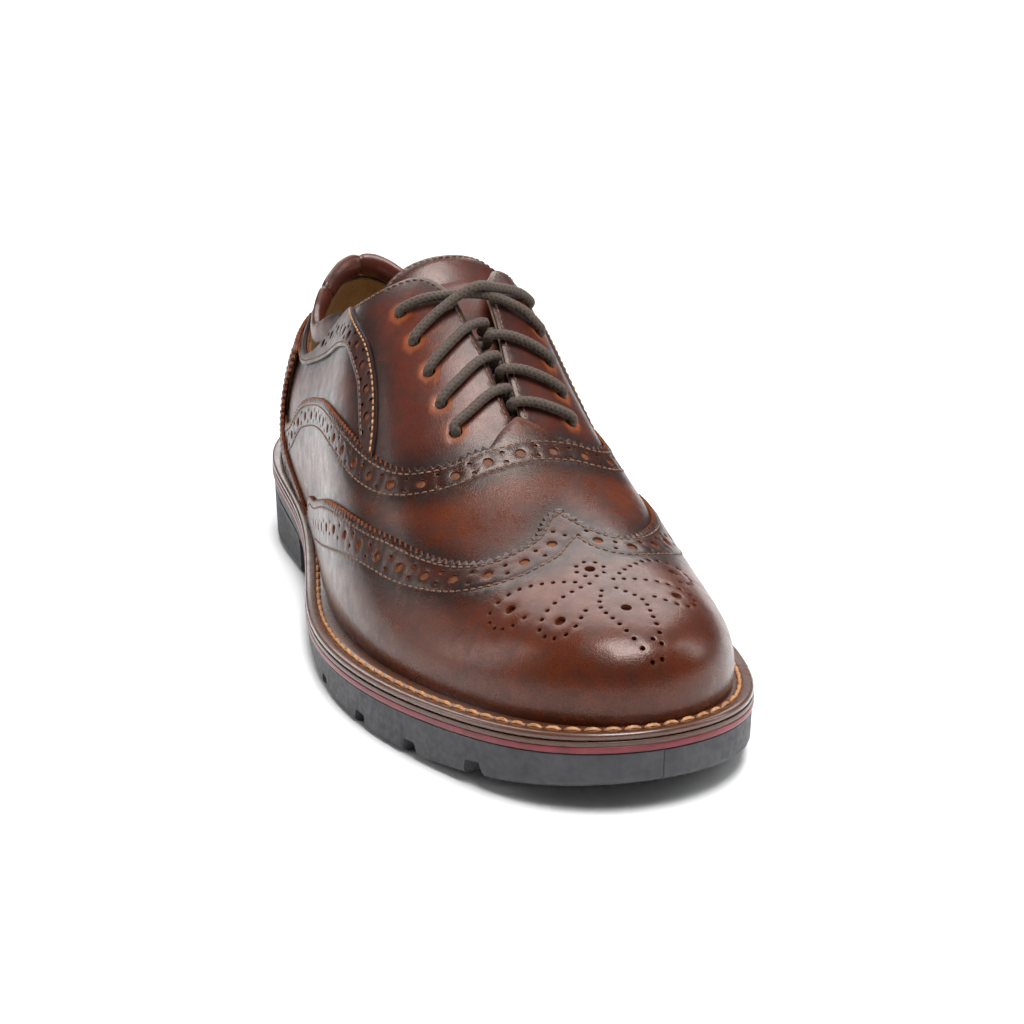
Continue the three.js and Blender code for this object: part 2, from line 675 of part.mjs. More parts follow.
function agletShape(side) {
  const knots = AGLET_TAIL.map((tail) => {
    const [phi, v, offset] = tailPoint(side, tail);
    return onLast(phi, v, offset - 0.1);
  });
  return cordShape(knots, AGLET_RADIUS, 1, 10);
}

// ---------------------------------------------------------------- collar roll and tongue
function rollGuide() {
  const whole = [...ROLL_CENTRE, ...reversed(ROLL_CENTRE).slice(1).map(([phi, v]) => [-phi, v])];
  const knots = whole.map(([phi, v]) => onLast(phi, v, ROLL.offset));
  return new THREE.CatmullRomCurve3(knots, false, 'centripetal');
}

// One oval section of the collar roll, slimmer towards both ends
function rollSection(guide, t) {
  const centre = guide.getPointAt(t);
  const tangent = guide.getTangentAt(t);
  const up = new THREE.Vector3(0, 0, 1).addScaledVector(tangent, -tangent.z).normalize();
  const out = tangent.clone().cross(up).normalize();
  const fullness = Math.sin(Math.PI * Math.min(Math.max(t, 0.02), 0.98));
  const size = ROLL.endSize + (1 - ROLL.endSize) * Math.min(1, fullness * 3);
  const section = [];
  for (let k = 0; k < ROLL.sides; k++) {
    const a = 2 * Math.PI * k / ROLL.sides;
    const p = centre.clone().addScaledVector(out, ROLL.halfThickness * size * Math.cos(a));
    section.push(p.addScaledVector(up, ROLL.halfHeight * size * Math.sin(a)));
  }
  return section;
}

function rollShape() {
  const guide = rollGuide();
  const { steps, sides } = ROLL;
  const points = [];
  const triangles = [];
  for (let i = 0; i <= steps; i++) {
    for (const p of rollSection(guide, i / steps)) points.push(p.x, p.y, p.z);
  }
  for (let i = 0; i < steps; i++) {
    for (let k = 0; k < sides; k++) {
      const l = (k + 1) % sides;
      triangles.push(i * sides + k, (i + 1) * sides + k, (i + 1) * sides + l);
      triangles.push(i * sides + k, (i + 1) * sides + l, i * sides + l);
    }
  }
  for (let k = 1; k + 1 < sides; k++) {
    triangles.push(0, k, k + 1);
    triangles.push(steps * sides, steps * sides + k + 1, steps * sides + k);
  }
  return geometryFrom(points, triangles);
}

function tongueDrop(phi) {
  const t = Math.min(Math.max((Math.abs(phi) - TONGUE_TIP_FROM) / TONGUE_TIP_RUN, 0), 1);
  return -(TONGUE_DROP + (TONGUE_TIP_DROP - TONGUE_DROP) * t);
}

function tongueShape(drop) {
  const side = [[74.3, 0.68], [82, 0.64], [90, 0.63], [98.5, 0.66]];
  const tip = [[98.5, 0.66], [100.8, 0.78], [101.5, 0.9], [101.5, 1]];
  const edges = [side, crestLine(74.3, 101.5), straight([74.3, 0.68], [74.3, 1]), tip];
  const outer = (phi) => tongueDrop(phi) - drop;
  const inner = (phi) => tongueDrop(phi) - drop - TONGUE_THICKNESS;
  return wholePanel(edges, edges, 9, 6, [inner, outer]);
}

// ---------------------------------------------------------------- panel outlines
const vampEdges = [footLine(0, 145), joined(crestLine(0, 75.5), VAMP_EDGE), toeLine,
  straight([145, 0], lastOf(VAMP_EDGE))];

function wingEdges(edge) {
  const top = joined(crestLine(0, 60), edge);
  return [footLine(0, 114.5), top, toeLine, straight([114.5, 0], lastOf(edge))];
}

const puffEdges = [footLine(0, 62), crestLine(0, 36), toeLine, [[62, 0], [58, 0.35], [48, 0.7], [36, 1]]];
const frontQuarterEdges = [QUARTER_LAP, joined(FACING_EDGE, FRONT_TOPLINE),
  straight(firstOf(QUARTER_LAP), firstOf(FACING_EDGE)), QUARTER_SEAM];
const backSeam = [[82.6, 0.335], [85.1, 0.415], [88.6, 0.484], [92.4, 0.524], [98, 0.539], [105, 0.529],
  [113, 0.563]];
const backQuarterEdges = [BACK_LAP, nudge(REAR_TOPLINE, 0, -0.005), backSeam,
  straight([179.6, 0], [179.6, 0.585])];
const bandEdges = [BAND_BACK, joined(BAND_FRONT, [[110, 0.578], ...REAR_TOPLINE]),
  straight(firstOf(BAND_BACK), firstOf(BAND_FRONT)), straight([179.6, 0.42], [179.6, 0.59])];
const coverEdges = [footLine(117, 180), COUNTER_TOP, COUNTER_FRONT, straight([180, 0], [180, 0.445])];
const counterEdges = [footLine(147, 180), [[148, 0.29], [160, 0.33], [180, 0.36]],
  straight([147, 0], [148, 0.29]), straight([180, 0], [180, 0.36])];
const vampLiningEdges = [footLine(0, 82), crestLine(0, 70), toeLine, LINING_SEAM];
const liningTop = joined([[70.9, 0.985], [75.5, 0.979]], FACING_EDGE.slice(1), FRONT_TOPLINE,
  [[112, 0.573], [118, 0.5], [122, 0.44], [126, 0.39], [131.6, 0.36], [139.6, 0.385]]);
const quarterLiningEdges = [footLine(82.8, 139.6), liningTop,
  [[82.8, 0], [76.8, 0.35], [71.8, 0.6], [70.3, 0.85], [70.9, 0.985]], straight([139.6, 0],
  [139.6, 0.385])];
const heelLiningEdges = [footLine(140.2, 180), [[140.2, 0.387], [150, 0.46], [165, 0.55], [180, 0.575]],
  straight([140.2, 0], [140.2, 0.387]), straight([180, 0], [180, 0.575])];

// ---------------------------------------------------------------- assembly
const LEATHER = 0x5e2d1b;
const finish = {
  leather: () => new THREE.MeshStandardMaterial({ color: LEATHER, roughness: 0.35, metalness: 0 }),
  lining: () => new THREE.MeshStandardMaterial({ color: 0x5a4326, roughness: 0.9, metalness: 0 }),
  board: () => new THREE.MeshStandardMaterial({ color: 0x8a6a45, roughness: 0.9, metalness: 0 }),
  rubber: () => new THREE.MeshStandardMaterial({ color: 0x333335, roughness: 0.7, metalness: 0 }),
  stripe: () => new THREE.MeshStandardMaterial({ color: 0x7b2430, roughness: 0.5, metalness: 0 }),
  cork: () => new THREE.MeshStandardMaterial({ color: 0xa87b4c, roughness: 0.95, metalness: 0 }),
  steel: () => new THREE.MeshStandardMaterial({ color: 0x9a9da0, roughness: 0.35, metalness: 1 }),
  lace: () => new THREE.MeshStandardMaterial({ color: 0x4b4238, roughness: 0.8, metalness: 0 }),
};

const shoe = new THREE.Group();
const upper = new THREE.Group();
const sole = new THREE.Group();
const tongue = new THREE.Group();
shoe.add(sole, upper, tongue);

function add(group, name, geometry, material) {
  geometry.translate(CENTRE_SHIFT, 0, 0);
  const mesh = new THREE.Mesh(geometry, material);
  mesh.name = name;
  group.add(mesh);
}

add(sole, 'outsole', outsoleShape(), finish.rubber());
add(sole, 'heel_block', heelShape(), finish.rubber());
NAILS.forEach((nail, i) => add(sole, `heel_nail_${i + 1}`, nailShape(nail, 0, 0), finish.steel()));
add(sole, 'midsole_stripe', flatSlab(soleEdge, 0.2, STRIPE_DROP, STRIPE_THICKNESS), finish.stripe());
add(sole, 'midsole', flatSlab(soleEdge, 0.1, MIDSOLE_DROP, MIDSOLE_THICKNESS), finish.leather());
add(sole, 'welt', edgeRing([[0.7, -WELT_THICKNESS], [0, -1.7], [0, -0.8], [0.8, 0], [WELT_WIDTH, 0],
  [WELT_WIDTH, -WELT_THICKNESS]]), finish.leather());
add(sole, 'cork_filler', corkShape(), finish.cork());
add(sole, 'shank', shankStrip(0, SHANK.low, SHANK.high), finish.steel());
add(sole, 'insole_board', flatSlab(featherEdge, 3.5, -2.9, 2.4), finish.board());
add(sole, 'sock_liner', flatSlab(featherEdge, 3.9, -4.7, 1.4), finish.lining());

add(upper, 'toe_puff', wholePanel(puffEdges, puffEdges, 9, 6, LAYER_QUARTER), finish.board());
add(upper, 'heel_counter', wholePanel(counterEdges, counterEdges, 5, 4, LAYER_VAMP), finish.board());
add(upper, 'vamp_lining', wholePanel(vampLiningEdges, vampLiningEdges, 13, 8, LAYER_LINING), finish.lining());
add(upper, 'heel_lining', wholePanel(heelLiningEdges, heelLiningEdges, 7, 6, LAYER_LINING), finish.lining());
add(upper, 'vamp', wholePanel(vampEdges, vampEdges, 28, 8, LAYER_VAMP), finish.leather());
const wing = [wingEdges(WING_EDGE), wingEdges(WING_EDGE_MEDIAL)];
add(upper, 'wing_toe_cap', wholePanel(...wing, 22, 7, LAYER_OVERLAY), finish.leather());
add(upper, 'heel_counter_cover', wholePanel(coverEdges, coverEdges, 9, 6, LAYER_OVERLAY), finish.leather());
for (const [word, side] of [['lateral', 1], ['medial', -1]]) {
  const drills = eyeletDrills(side);
  const front = sidePanel(frontQuarterEdges, side, 13, 7, LAYER_QUARTER);
  const lining = sidePanel(quarterLiningEdges, side, 16, 8, LAYER_LINING);
  add(upper, `quarter_front_${word}`, cut(front, drills), finish.leather());
  add(upper, `quarter_lining_${word}`, cut(lining, drills), finish.lining());
  const back = sidePanel(backQuarterEdges, side, 14, 6, LAYER_QUARTER);
  add(upper, `quarter_back_${word}`, back, finish.leather());
  add(upper, `collar_band_${word}`, sidePanel(bandEdges, side, 22, 2, LAYER_VAMP), finish.leather());
}
add(upper, 'collar_roll', rollShape(), finish.leather());
add(upper, 'shoelace', laceShape(), finish.lace());
add(upper, 'aglet_lateral', agletShape(1), finish.lace());
add(upper, 'aglet_medial', agletShape(-1), finish.lace());

add(tongue, 'tongue', tongueShape(0), finish.leather());
add(tongue, 'tongue_lining', tongueShape(TONGUE_THICKNESS + TONGUE_LINING_GAP), finish.lining());

export default shoe;
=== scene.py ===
# %% [markdown]
# # A full-brogue oxford shoe
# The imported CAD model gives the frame: which pieces there are, where they sit and how the tongue turns.
# This script makes the surface that a person sees: leather panels cut and punched like real ones, thread,
# a stitched welt, a moulded rubber sole and a braided lace. All lengths below are in millimetres and are
# turned into metres only when a mesh is made.

# %% Load the frame
import math

import bpy
import numpy as np
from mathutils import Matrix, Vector, geometry, kdtree


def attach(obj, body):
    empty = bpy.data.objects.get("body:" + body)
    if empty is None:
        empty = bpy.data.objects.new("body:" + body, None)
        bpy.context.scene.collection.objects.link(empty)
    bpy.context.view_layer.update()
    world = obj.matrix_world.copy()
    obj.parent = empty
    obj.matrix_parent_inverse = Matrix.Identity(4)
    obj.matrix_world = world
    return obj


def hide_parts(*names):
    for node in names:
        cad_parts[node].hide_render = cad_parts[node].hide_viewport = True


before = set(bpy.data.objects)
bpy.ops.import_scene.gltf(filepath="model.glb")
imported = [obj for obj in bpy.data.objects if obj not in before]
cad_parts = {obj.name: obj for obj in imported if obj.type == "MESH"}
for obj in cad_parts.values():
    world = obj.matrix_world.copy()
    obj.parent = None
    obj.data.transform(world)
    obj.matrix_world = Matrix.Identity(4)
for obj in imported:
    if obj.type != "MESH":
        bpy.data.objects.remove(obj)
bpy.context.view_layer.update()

MM = 0.001
bpy.ops.object.select_all(action="DESELECT")

# %% [markdown]
# ## Camera, floor and light
# A shoe is usually shown from a little above the toe, with a long lens so that the toe does not swell.
# The floor is a plain pale sheet. A large soft lamp hangs above and draws the broad highlight on the toe.
# Narrow ones from both sides and the front round the shape, and a far one keeps the floor behind the shoe
# bright. The Standard view keeps the floor white and the dyes as deep as they are set.

# %% Camera
CAMERA_AZIMUTH = math.radians(-20.59)
CAMERA_ELEVATION = math.radians(18.5)
CAMERA_DISTANCE = 758.15 * MM
CAMERA_TARGET = Vector((18.02, 0, 38.88)) * MM
CAMERA_LENS = 79.55


def direction(azimuth, elevation):
    return Vector((math.sin(azimuth) * math.cos(elevation), -math.cos(azimuth) * math.cos(elevation),
                   math.sin(elevation)))


towards_camera = direction(CAMERA_AZIMUTH, CAMERA_ELEVATION)
bpy.ops.object.camera_add(location=CAMERA_TARGET + towards_camera * CAMERA_DISTANCE)
camera = bpy.context.object
camera.name = "camera"
camera.rotation_euler = towards_camera.to_track_quat("Z", "Y").to_euler()
camera.data.lens = CAMERA_LENS
camera.data.sensor_width = 36
bpy.context.scene.camera = camera
print("camera at", [round(c, 3) for c in camera.location])

# %% Floor and lamps
FLOOR_SIZE = 16
FLOOR_DROP = 0.0002

bpy.ops.mesh.primitive_plane_add(size=FLOOR_SIZE, location=(0, 0, -FLOOR_DROP))
floor = bpy.context.object
floor.name = "floor"
floor_paint = bpy.data.materials.new("pale_floor")
floor_paint.use_nodes = True
floor_shader = floor_paint.node_tree.nodes["Principled BSDF"]
floor_shader.inputs["Base Color"].default_value = (0.94, 0.94, 0.94, 1)
floor_shader.inputs["Roughness"].default_value = 0.6
floor.data.materials.append(floor_paint)


def soft_lamp(name, azimuth, elevation, distance, width, height, power):
    """A rectangular lamp that faces the middle of the shoe."""
    aim = direction(math.radians(azimuth), math.radians(elevation))
    bpy.ops.object.light_add(type="AREA", location=Vector((0, 0, 0.05)) + aim * distance)
    lamp = bpy.context.object
    lamp.name = name
    lamp.rotation_euler = aim.to_track_quat("Z", "Y").to_euler()
    lamp.data.shape = "RECTANGLE"
    lamp.data.size = width
    lamp.data.size_y = height
    lamp.data.energy = power
    return lamp


soft_lamp("lamp_above", 12, 76, 1.5, 0.75, 0.8, 27)
soft_lamp("lamp_left", -112, 20, 1.3, 0.3, 0.8, 3)
soft_lamp("lamp_right", 75, 30, 1.3, 0.3, 0.8, 4)
soft_lamp("lamp_front", -4, 60, 1.6, 0.5, 0.4, 6)
soft_lamp("lamp_backdrop", 165, 44, 4.0, 4.0, 3.0, 130)
world = bpy.data.worlds.new("studio")
world.use_nodes = True
world.node_tree.nodes["Background"].inputs["Color"].default_value = (1, 1, 1, 1)
world.node_tree.nodes["Background"].inputs["Strength"].default_value = 0.14
bpy.context.scene.world = world
bpy.context.scene.view_settings.view_transform = "Standard"
print("floor, 5 lamps and a white surround")

# %% [markdown]
# ## The last
# Every shoe is built on a last, the wooden form of the foot. Here it is a formula. A point of it is named
# by its station, the angle in degrees round the plan from the toe (0) over the outer side to the heel
# (180), and by its height, from the welt (0) up the outer side to the ridge on top (1) and down the inner
# side to the welt again (2). Each ruling from the welt to the ridge is one Bezier curve, so the last stays
# smooth whatever the panels do. The formula is the CAD's own, so that the panels land on the CAD's solids.

# %% Splines
STATION_DEG = 22.5


def natural_spline(points):
    """The natural cubic spline through (x, y) pairs, as a function of an array."""
    x = np.array([p[0] for p in points], float)
    y = np.array([p[1] for p in points], float)
    gap = np.diff(x)
    matrix = np.eye(len(x))
    right = np.zeros(len(x))
    for i in range(1, len(x) - 1):
        matrix[i, i - 1:i + 2] = gap[i - 1], 2 * (gap[i - 1] + gap[i]), gap[i]
        right[i] = 6 * ((y[i + 1] - y[i]) / gap[i] - (y[i] - y[i - 1]) / gap[i - 1])
    second = np.linalg.solve(matrix, right)

    def evaluate(at):
        at = np.clip(at, x[0], x[-1])
        k = np.clip(np.searchsorted(x, at) - 1, 0, len(x) - 2)
        a = (x[k + 1] - at) / gap[k]
        b = 1 - a
        curve = ((a ** 3 - a) * second[k] + (b ** 3 - b) * second[k + 1]) * gap[k] ** 2 / 6
        return a * y[k] + b * y[k + 1] + curve
    return evaluate


def closed_spline(values):
    """A closed spline through values at equal stations."""
    count = len(values)
    spline = natural_spline([(i, values[i % count]) for i in range(-count, 2 * count + 1)])
    return lambda station: spline(np.mod(station, count))


# %% Driving sizes of the last
SOLE_HALF = 152.5
FEATHER_HALF = 144
FOOT_LIFT = 1
CENTRE_SHIFT = 4.93
sole_edge_x = closed_spline([1, -29.3, -49.4, -63, -59, -44.2, -40.9, -25.1, 0.3, 26.1, 40, 38, 39.9, 53.2, 48.3,
                             30.7])
feather_x = closed_spline([1.8, -22.3, -40.1, -51.7, -48.8, -39.3, -35.5, -22.1, -0.3, 21, 32.7, 30.9, 32, 45,
                           40.6, 25.5])
welt_top = natural_spline([(-152, 25.1), (-108, 20.8), (-48, 17.7), (22, 16.8), (72, 25.7), (152, 35.6)])
crest_height = natural_spline([(-150, 38.5), (-119, 49), (-94, 54), (-70, 61.5), (-35, 83.5), (-15, 99.5),
                               (5, 113.5), (22, 121.5), (60, 119.8), (118, 108.5)])
side_rise = natural_spline([(-146, 22.3), (-100, 17.4), (-60, 20.7), (-20, 51.5), (20, 63.5), (60, 53.8),
                            (100, 41.4), (147, 43.4)])
side_lean = natural_spline([(-146, 3.3), (-100, 1.9), (-60, 3.9), (-20, 5.9), (20, 4.7), (60, 5.6), (100, 5.5),
                            (147, 3.7)])
crest_reach = natural_spline([(-146, 27.5), (-100, 26.7), (-60, 33.1), (-20, 27.3), (20, 33.4), (60, 18.1),
                              (100, 9.8), (147, 9.6)])


def crest_x(y):
    return CENTRE_SHIFT + np.interp(y, [-150, -60, 40, 150], [3.5, 1, 1, 1.5])


def crest_station(y):
    """The ridge is shorter than the foot: it bends inwards near the toe and the heel."""
    toe = np.clip(-60 - y, 0, None)
    heel = np.clip(y - 80, 0, None)
    bent = np.where(y < -60, -60 - (toe - 0.0052 * toe ** 2), y)
    return np.where(y > 80, 80 + heel - 0.0065 * heel ** 2, bent)


# %% Points and normals of the last
def sole_edge(phi):
    return np.stack([CENTRE_SHIFT + sole_edge_x(phi / STATION_DEG), -SOLE_HALF * np.cos(np.radians(phi))], -1)


def feather_edge(phi):
    return np.stack([CENTRE_SHIFT + feather_x(phi / STATION_DEG),
                     -0.3 - FEATHER_HALF * np.cos(np.radians(phi))], -1)


def signed(station, height):
    """Turns a height between 1 and 2 into a height on the inner side, whose stations are negative."""
    station, height = np.broadcast_arrays(np.asarray(station, float), np.asarray(height, float))
    inner = height > 1
    return np.where(inner, -station, station), np.where(inner, 2 - height, height)


def ruling_point(phi, v):
    foot_xy = feather_edge(phi)
    foot = np.concatenate([foot_xy, (welt_top(foot_xy[..., 1]) + FOOT_LIFT)[..., None]], -1)
    y = foot_xy[..., 1]
    cy = crest_station(y)
    crest = np.stack([crest_x(cy), cy, crest_height(cy)], -1)
    out = foot[..., :2] - crest[..., :2]
    out = out / np.linalg.norm(out, axis=-1)[..., None]
    slope = crest_height(cy + 0.5) - crest_height(cy - 0.5)
    p1 = foot + np.concatenate([out * side_lean(y)[..., None], side_rise(y)[..., None]], -1)
    p2 = crest + np.concatenate([out, (slope * out[..., 1])[..., None]], -1) * crest_reach(y)[..., None]
    w = v[..., None]
    return foot * (1 - w) ** 3 + p1 * 3 * w * (1 - w) ** 2 + p2 * 3 * w ** 2 * (1 - w) + crest * w ** 3


def last_point(station, height):
    return ruling_point(*signed(station, height))


def last_normal(station, height):
    phi, v = signed(station, height)
    at = np.clip(v, 0.004, 0.985)
    around = ruling_point(phi + 0.06, at) - ruling_point(phi - 0.06, at)
    upward = ruling_point(phi, at + 0.001) - ruling_point(phi, at - 0.001)
    normal = np.cross(upward, around)
    normal /= np.linalg.norm(normal, axis=-1)[..., None]
    cy = crest_station(feather_edge(phi)[..., 1])
    slope = crest_height(cy + 0.5) - crest_height(cy - 0.5)
    top = np.stack([np.zeros_like(slope), -slope, np.ones_like(slope)], -1)
    top /= np.linalg.norm(top, axis=-1)[..., None]
    blend = np.clip((v - 0.96) / 0.04, 0, 1)[..., None]
    normal = normal * (1 - blend) + top * blend
    return normal / np.linalg.norm(normal, axis=-1)[..., None]


def on_last(station, height, offset=0.0):
    offset = np.broadcast_to(np.asarray(offset, float), np.shape(station))
    return last_point(station, height) + last_normal(station, height) * offset[..., None]


print("ridge above the throat at", np.round(last_point(75.5, 1.0), 1))

# %% [markdown]
# ## Curves drawn on the last
# A shoemaker draws the edges of the panels on the last with a pencil. Here an edge is a short list of
# (station, height) marks with a smooth curve through them. The curve is walked in true millimetres, so
# that teeth, holes and stitches keep an even pitch wherever they are.

# %% Curves
HEIGHT_SCALE = 80


def through_knots(knots, per_span):
    """A centripetal Catmull-Rom curve through knots of any dimension, as many points."""
    knots = np.vstack([2 * knots[0] - knots[1], knots, 2 * knots[-1] - knots[-2]])
    curve = []
    for a, b, c, d in zip(knots, knots[1:], knots[2:], knots[3:]):
        s1, s2, s3 = [max(np.linalg.norm(q - p), 1e-6) ** 0.5 for p, q in ((a, b), (b, c), (c, d))]
        t = np.linspace(0, s2, per_span, endpoint=False)[:, None]
        a1 = -t / s1 * a + (t + s1) / s1 * b
        a2 = (s2 - t) / s2 * b + t / s2 * c
        a3 = (s2 + s3 - t) / s3 * c + (t - s2) / s3 * d
        b1 = (s2 - t) / (s2 + s1) * a1 + (t + s1) / (s2 + s1) * a2
        b2 = (s2 + s3 - t) / (s2 + s3) * a2 + t / (s2 + s3) * a3
        curve.append((s2 - t) / s2 * b1 + t / s2 * b2)
    return np.vstack(curve + [knots[-2][None]])


def walk_length(points):
    """How far along a line of points each point lies."""
    return np.concatenate([[0], np.cumsum(np.linalg.norm(np.diff(points, axis=0), axis=1))])


def smooth_marks(marks, per_span=24):
    """A smooth curve through the marks, as many (station, height) points."""
    knots = np.array(marks, float) * (1, HEIGHT_SCALE)
    if len(knots) == 2:
        t = np.linspace(0, 1, per_span + 1)[:, None]
        return (knots[0] * (1 - t) + knots[1] * t) / (1, HEIGHT_SCALE)
    return through_knots(knots, per_span) / (1, HEIGHT_SCALE)


def walked(curve, pitch):
    """The same curve again with its points a whole number of equal pitches apart, in millimetres."""
    points = last_point(curve[:, 0], curve[:, 1])
    length = walk_length(points)
    count = max(1, round(length[-1] / pitch))
    at = np.linspace(0, length[-1], count + 1)
    return np.stack([np.interp(at, length, curve[:, k]) for k in range(2)], -1)


def step_on_last(marks, vectors):
    """Moves (station, height) marks by small 3D vectors along the surface."""
    station, height = marks[:, 0], marks[:, 1]
    d_station = (last_point(station + 0.05, height) - last_point(station - 0.05, height)) / 0.1
    d_height = (last_point(station, height + 0.0005) - last_point(station, height - 0.0005)) / 0.001
    aa = (d_station ** 2).sum(-1)
    bb = (d_height ** 2).sum(-1)
    ab = (d_station * d_height).sum(-1)
    va = (d_station * vectors).sum(-1)
    vb = (d_height * vectors).sum(-1)
    det = aa * bb - ab ** 2 + 1e-9
    return marks + np.stack([(va * bb - vb * ab) / det, (vb * aa - va * ab) / det], -1)


def curve_frame(marks):
    """Position, direction, sideways direction (to the left seen from outside) and normal along marks."""
    points = last_point(marks[:, 0], marks[:, 1])
    tangent = np.gradient(points, axis=0)
    normal = last_normal(marks[:, 0], marks[:, 1])
    tangent -= normal * (tangent * normal).sum(-1)[:, None]
    tangent /= np.linalg.norm(tangent, axis=1)[:, None] + 1e-12
    return points, tangent, np.cross(normal, tangent), normal


def beside(curve, distance):
    """A curve that runs beside another at a distance in millimetres, positive to its left."""
    marks = walked(curve, 1.0)
    steps = max(1, math.ceil(abs(distance)))
    for _ in range(steps):
        side = curve_frame(marks)[2]
        marks = step_on_last(marks, side * distance / steps)
    return marks


print("a millimetre beside the ridge:", np.round(beside(smooth_marks([(80, 0.9), (90, 0.9)]), 1)[0], 3))

# %% [markdown]
# ## Paint
# Leather, thread and rubber never have one flat colour. Each material starts from the Principled shader
# and gets its colour, roughness and bump from noise in object space, so the grain has a true size. A mesh
# may carry a value per point that darkens its paint. On the leather panels it is 1 where a shoemaker
# burnishes dark, along edges and seams, and 0 in the open. On the lace and the collar roll it is painted
# shade: it darkens the grooves between the yarns and the drawn-in parts of the roll.

# %% Material helpers
def new_material(name, roughness, **inputs):
    made = bpy.data.materials.new(name)
    made.use_nodes = True
    shader = made.node_tree.nodes["Principled BSDF"]
    shader.inputs["Roughness"].default_value = roughness
    for key, value in inputs.items():
        shader.inputs[key.replace("_", " ")].default_value = value
    return made, shader


def add_node(material, kind, values=None, **settings):
    made = material.node_tree.nodes.new(kind)
    for key, value in settings.items():
        setattr(made, key, value)
    for key, value in (values or {}).items():
        made.inputs[key].default_value = value
    return made


def link(material, source, target):
    material.node_tree.links.new(source, target)


def hex_colour(code):
    """The scene-linear colour of an sRGB code such as "5a3a2c"."""
    channels = [int(code[i:i + 2], 16) / 255 for i in (0, 2, 4)]
    return tuple(c / 12.92 if c <= 0.04045 else ((c + 0.055) / 1.055) ** 2.4 for c in channels) + (1,)


def object_noise(material, scale, detail=3, distortion=0.0, stretch=(1, 1, 1)):
    """Noise with a given number of features per metre."""
    place = add_node(material, "ShaderNodeTexCoord")
    mapping = add_node(material, "ShaderNodeMapping", {"Scale": stretch})
    noise = add_node(material, "ShaderNodeTexNoise", {"Scale": scale, "Detail": detail, "Distortion": distortion})
    link(material, place.outputs["Object"], mapping.inputs["Vector"])
    link(material, mapping.outputs["Vector"], noise.inputs["Vector"])
    return noise.outputs["Fac"]


def ramp(material, source, stops):
    """A colour ramp through (place, colour) stops."""
    made = add_node(material, "ShaderNodeValToRGB")
    elements = made.color_ramp.elements
    while len(elements) < len(stops):
        elements.new(0.5)
    for element, (place, colour) in zip(elements, stops):
        element.position = place
        element.color = colour
    link(material, source, made.inputs["Fac"])
    return made.outputs["Color"]


def noise_colour(material, shader, scale, detail, dark, light, spread=0.2, stretch=(1, 1, 1)):
    """Colours a shader by noise, from one sRGB code to another."""
    stops = [(0.5 - spread, hex_colour(dark)), (0.5 + spread, hex_colour(light))]
    link(material, ramp(material, object_noise(material, scale, detail, stretch=stretch), stops),
         shader.inputs["Base Color"])


def level_range(material, source, low, high, to_low, to_high):
    made = add_node(material, "ShaderNodeMapRange", {"From Min": low, "From Max": high, "To Min": to_low,
                                                     "To Max": to_high})
    link(material, source, made.inputs["Value"])
    return made.outputs["Result"]


def feed(material, pairs):
    """Gives each socket a constant or links another node's output to it."""
    for value, socket in pairs:
        if isinstance(value, bpy.types.NodeSocket):
            link(material, value, socket)
        else:
            socket.default_value = value


def mixed(material, factor, first, second):
    made = add_node(material, "ShaderNodeMix", data_type="RGBA", blend_type="MIX")
    feed(material, ((factor, made.inputs[0]), (first, made.inputs[6]), (second, made.inputs[7])))
    return made.outputs[2]


def arithmetic(material, operation, first, second):
    made = add_node(material, "ShaderNodeMath", operation=operation)
    feed(material, ((first, made.inputs[0]), (second, made.inputs[1])))
    return made.outputs[0]


def bump(material, shader, height, depth_mm, strength=1.0):
    made = add_node(material, "ShaderNodeBump", {"Strength": strength, "Distance": depth_mm * MM})
    link(material, height, made.inputs["Height"])
    link(material, made.outputs["Normal"], shader.inputs["Normal"])


def burnish_and_shade_of(material):
    return add_node(material, "ShaderNodeAttribute", attribute_name="burnish_and_shade").outputs["Fac"]


# %% [markdown]
# ## Meshes
# Almost every surface of a shoe is doubly curved and cut to a drawn edge, so it can't be pushed out of a
# cube by hand. The pieces are made from points of the last instead. These few helpers turn points in
# millimetres into an object, bind it to its CAD body and hide the CAD nodes that it stands for.

# %% Mesh helpers
def mesh_object(name, points, faces, materials, face_material=None, burnish_and_shade=None, smooth=40):
    mesh = bpy.data.meshes.new(name)
    mesh.from_pydata((np.asarray(points) * MM).tolist(), [], [tuple(int(i) for i in f) for f in faces])
    for material in materials:
        mesh.materials.append(material)
    if face_material is not None:
        mesh.polygons.foreach_set("material_index", np.asarray(face_material, dtype=np.int32))
    if burnish_and_shade is not None:
        mesh.attributes.new("burnish_and_shade", "FLOAT", "POINT").data.foreach_set("value",
                                                                       np.asarray(burnish_and_shade, dtype=np.float32))
    mesh.validate()
    made = bpy.data.objects.new(name, mesh)
    bpy.context.collection.objects.link(made)
    bpy.ops.object.select_all(action="DESELECT")
    made.select_set(True)
    bpy.context.view_layer.objects.active = made
    if smooth:
        bpy.ops.object.shade_smooth_by_angle(angle=math.radians(smooth))
    return made


def finish_piece(piece, nodes=(), body="shoe"):
    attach(piece, body)
    if nodes:
        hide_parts(*nodes)
    print(piece.name, len(piece.data.polygons), "faces")
    return piece


def grid_faces(rows, columns, wrap=False, start=0):
    """The quads of a grid of points stored row by row; wrap joins the last column to the first."""
    i = np.arange(rows - 1)[:, None]
    j = np.arange(columns if wrap else columns - 1)[None]
    k = (j + 1) % columns
    quads = np.stack([i * columns + j, i * columns + k, (i + 1) * columns + k, (i + 1) * columns + j], -1)
    return (quads.reshape(-1, 4) + start).tolist()


def smooth_path(knots, step):
    """A smooth path through 3D knots, walked in equal steps."""
    curve = through_knots(np.asarray(knots, float), 16)
    length = walk_length(curve)
    at = np.linspace(0, length[-1], max(2, round(length[-1] / step)) + 1)
    return np.stack([np.interp(at, length, curve[:, k]) for k in range(3)], -1)


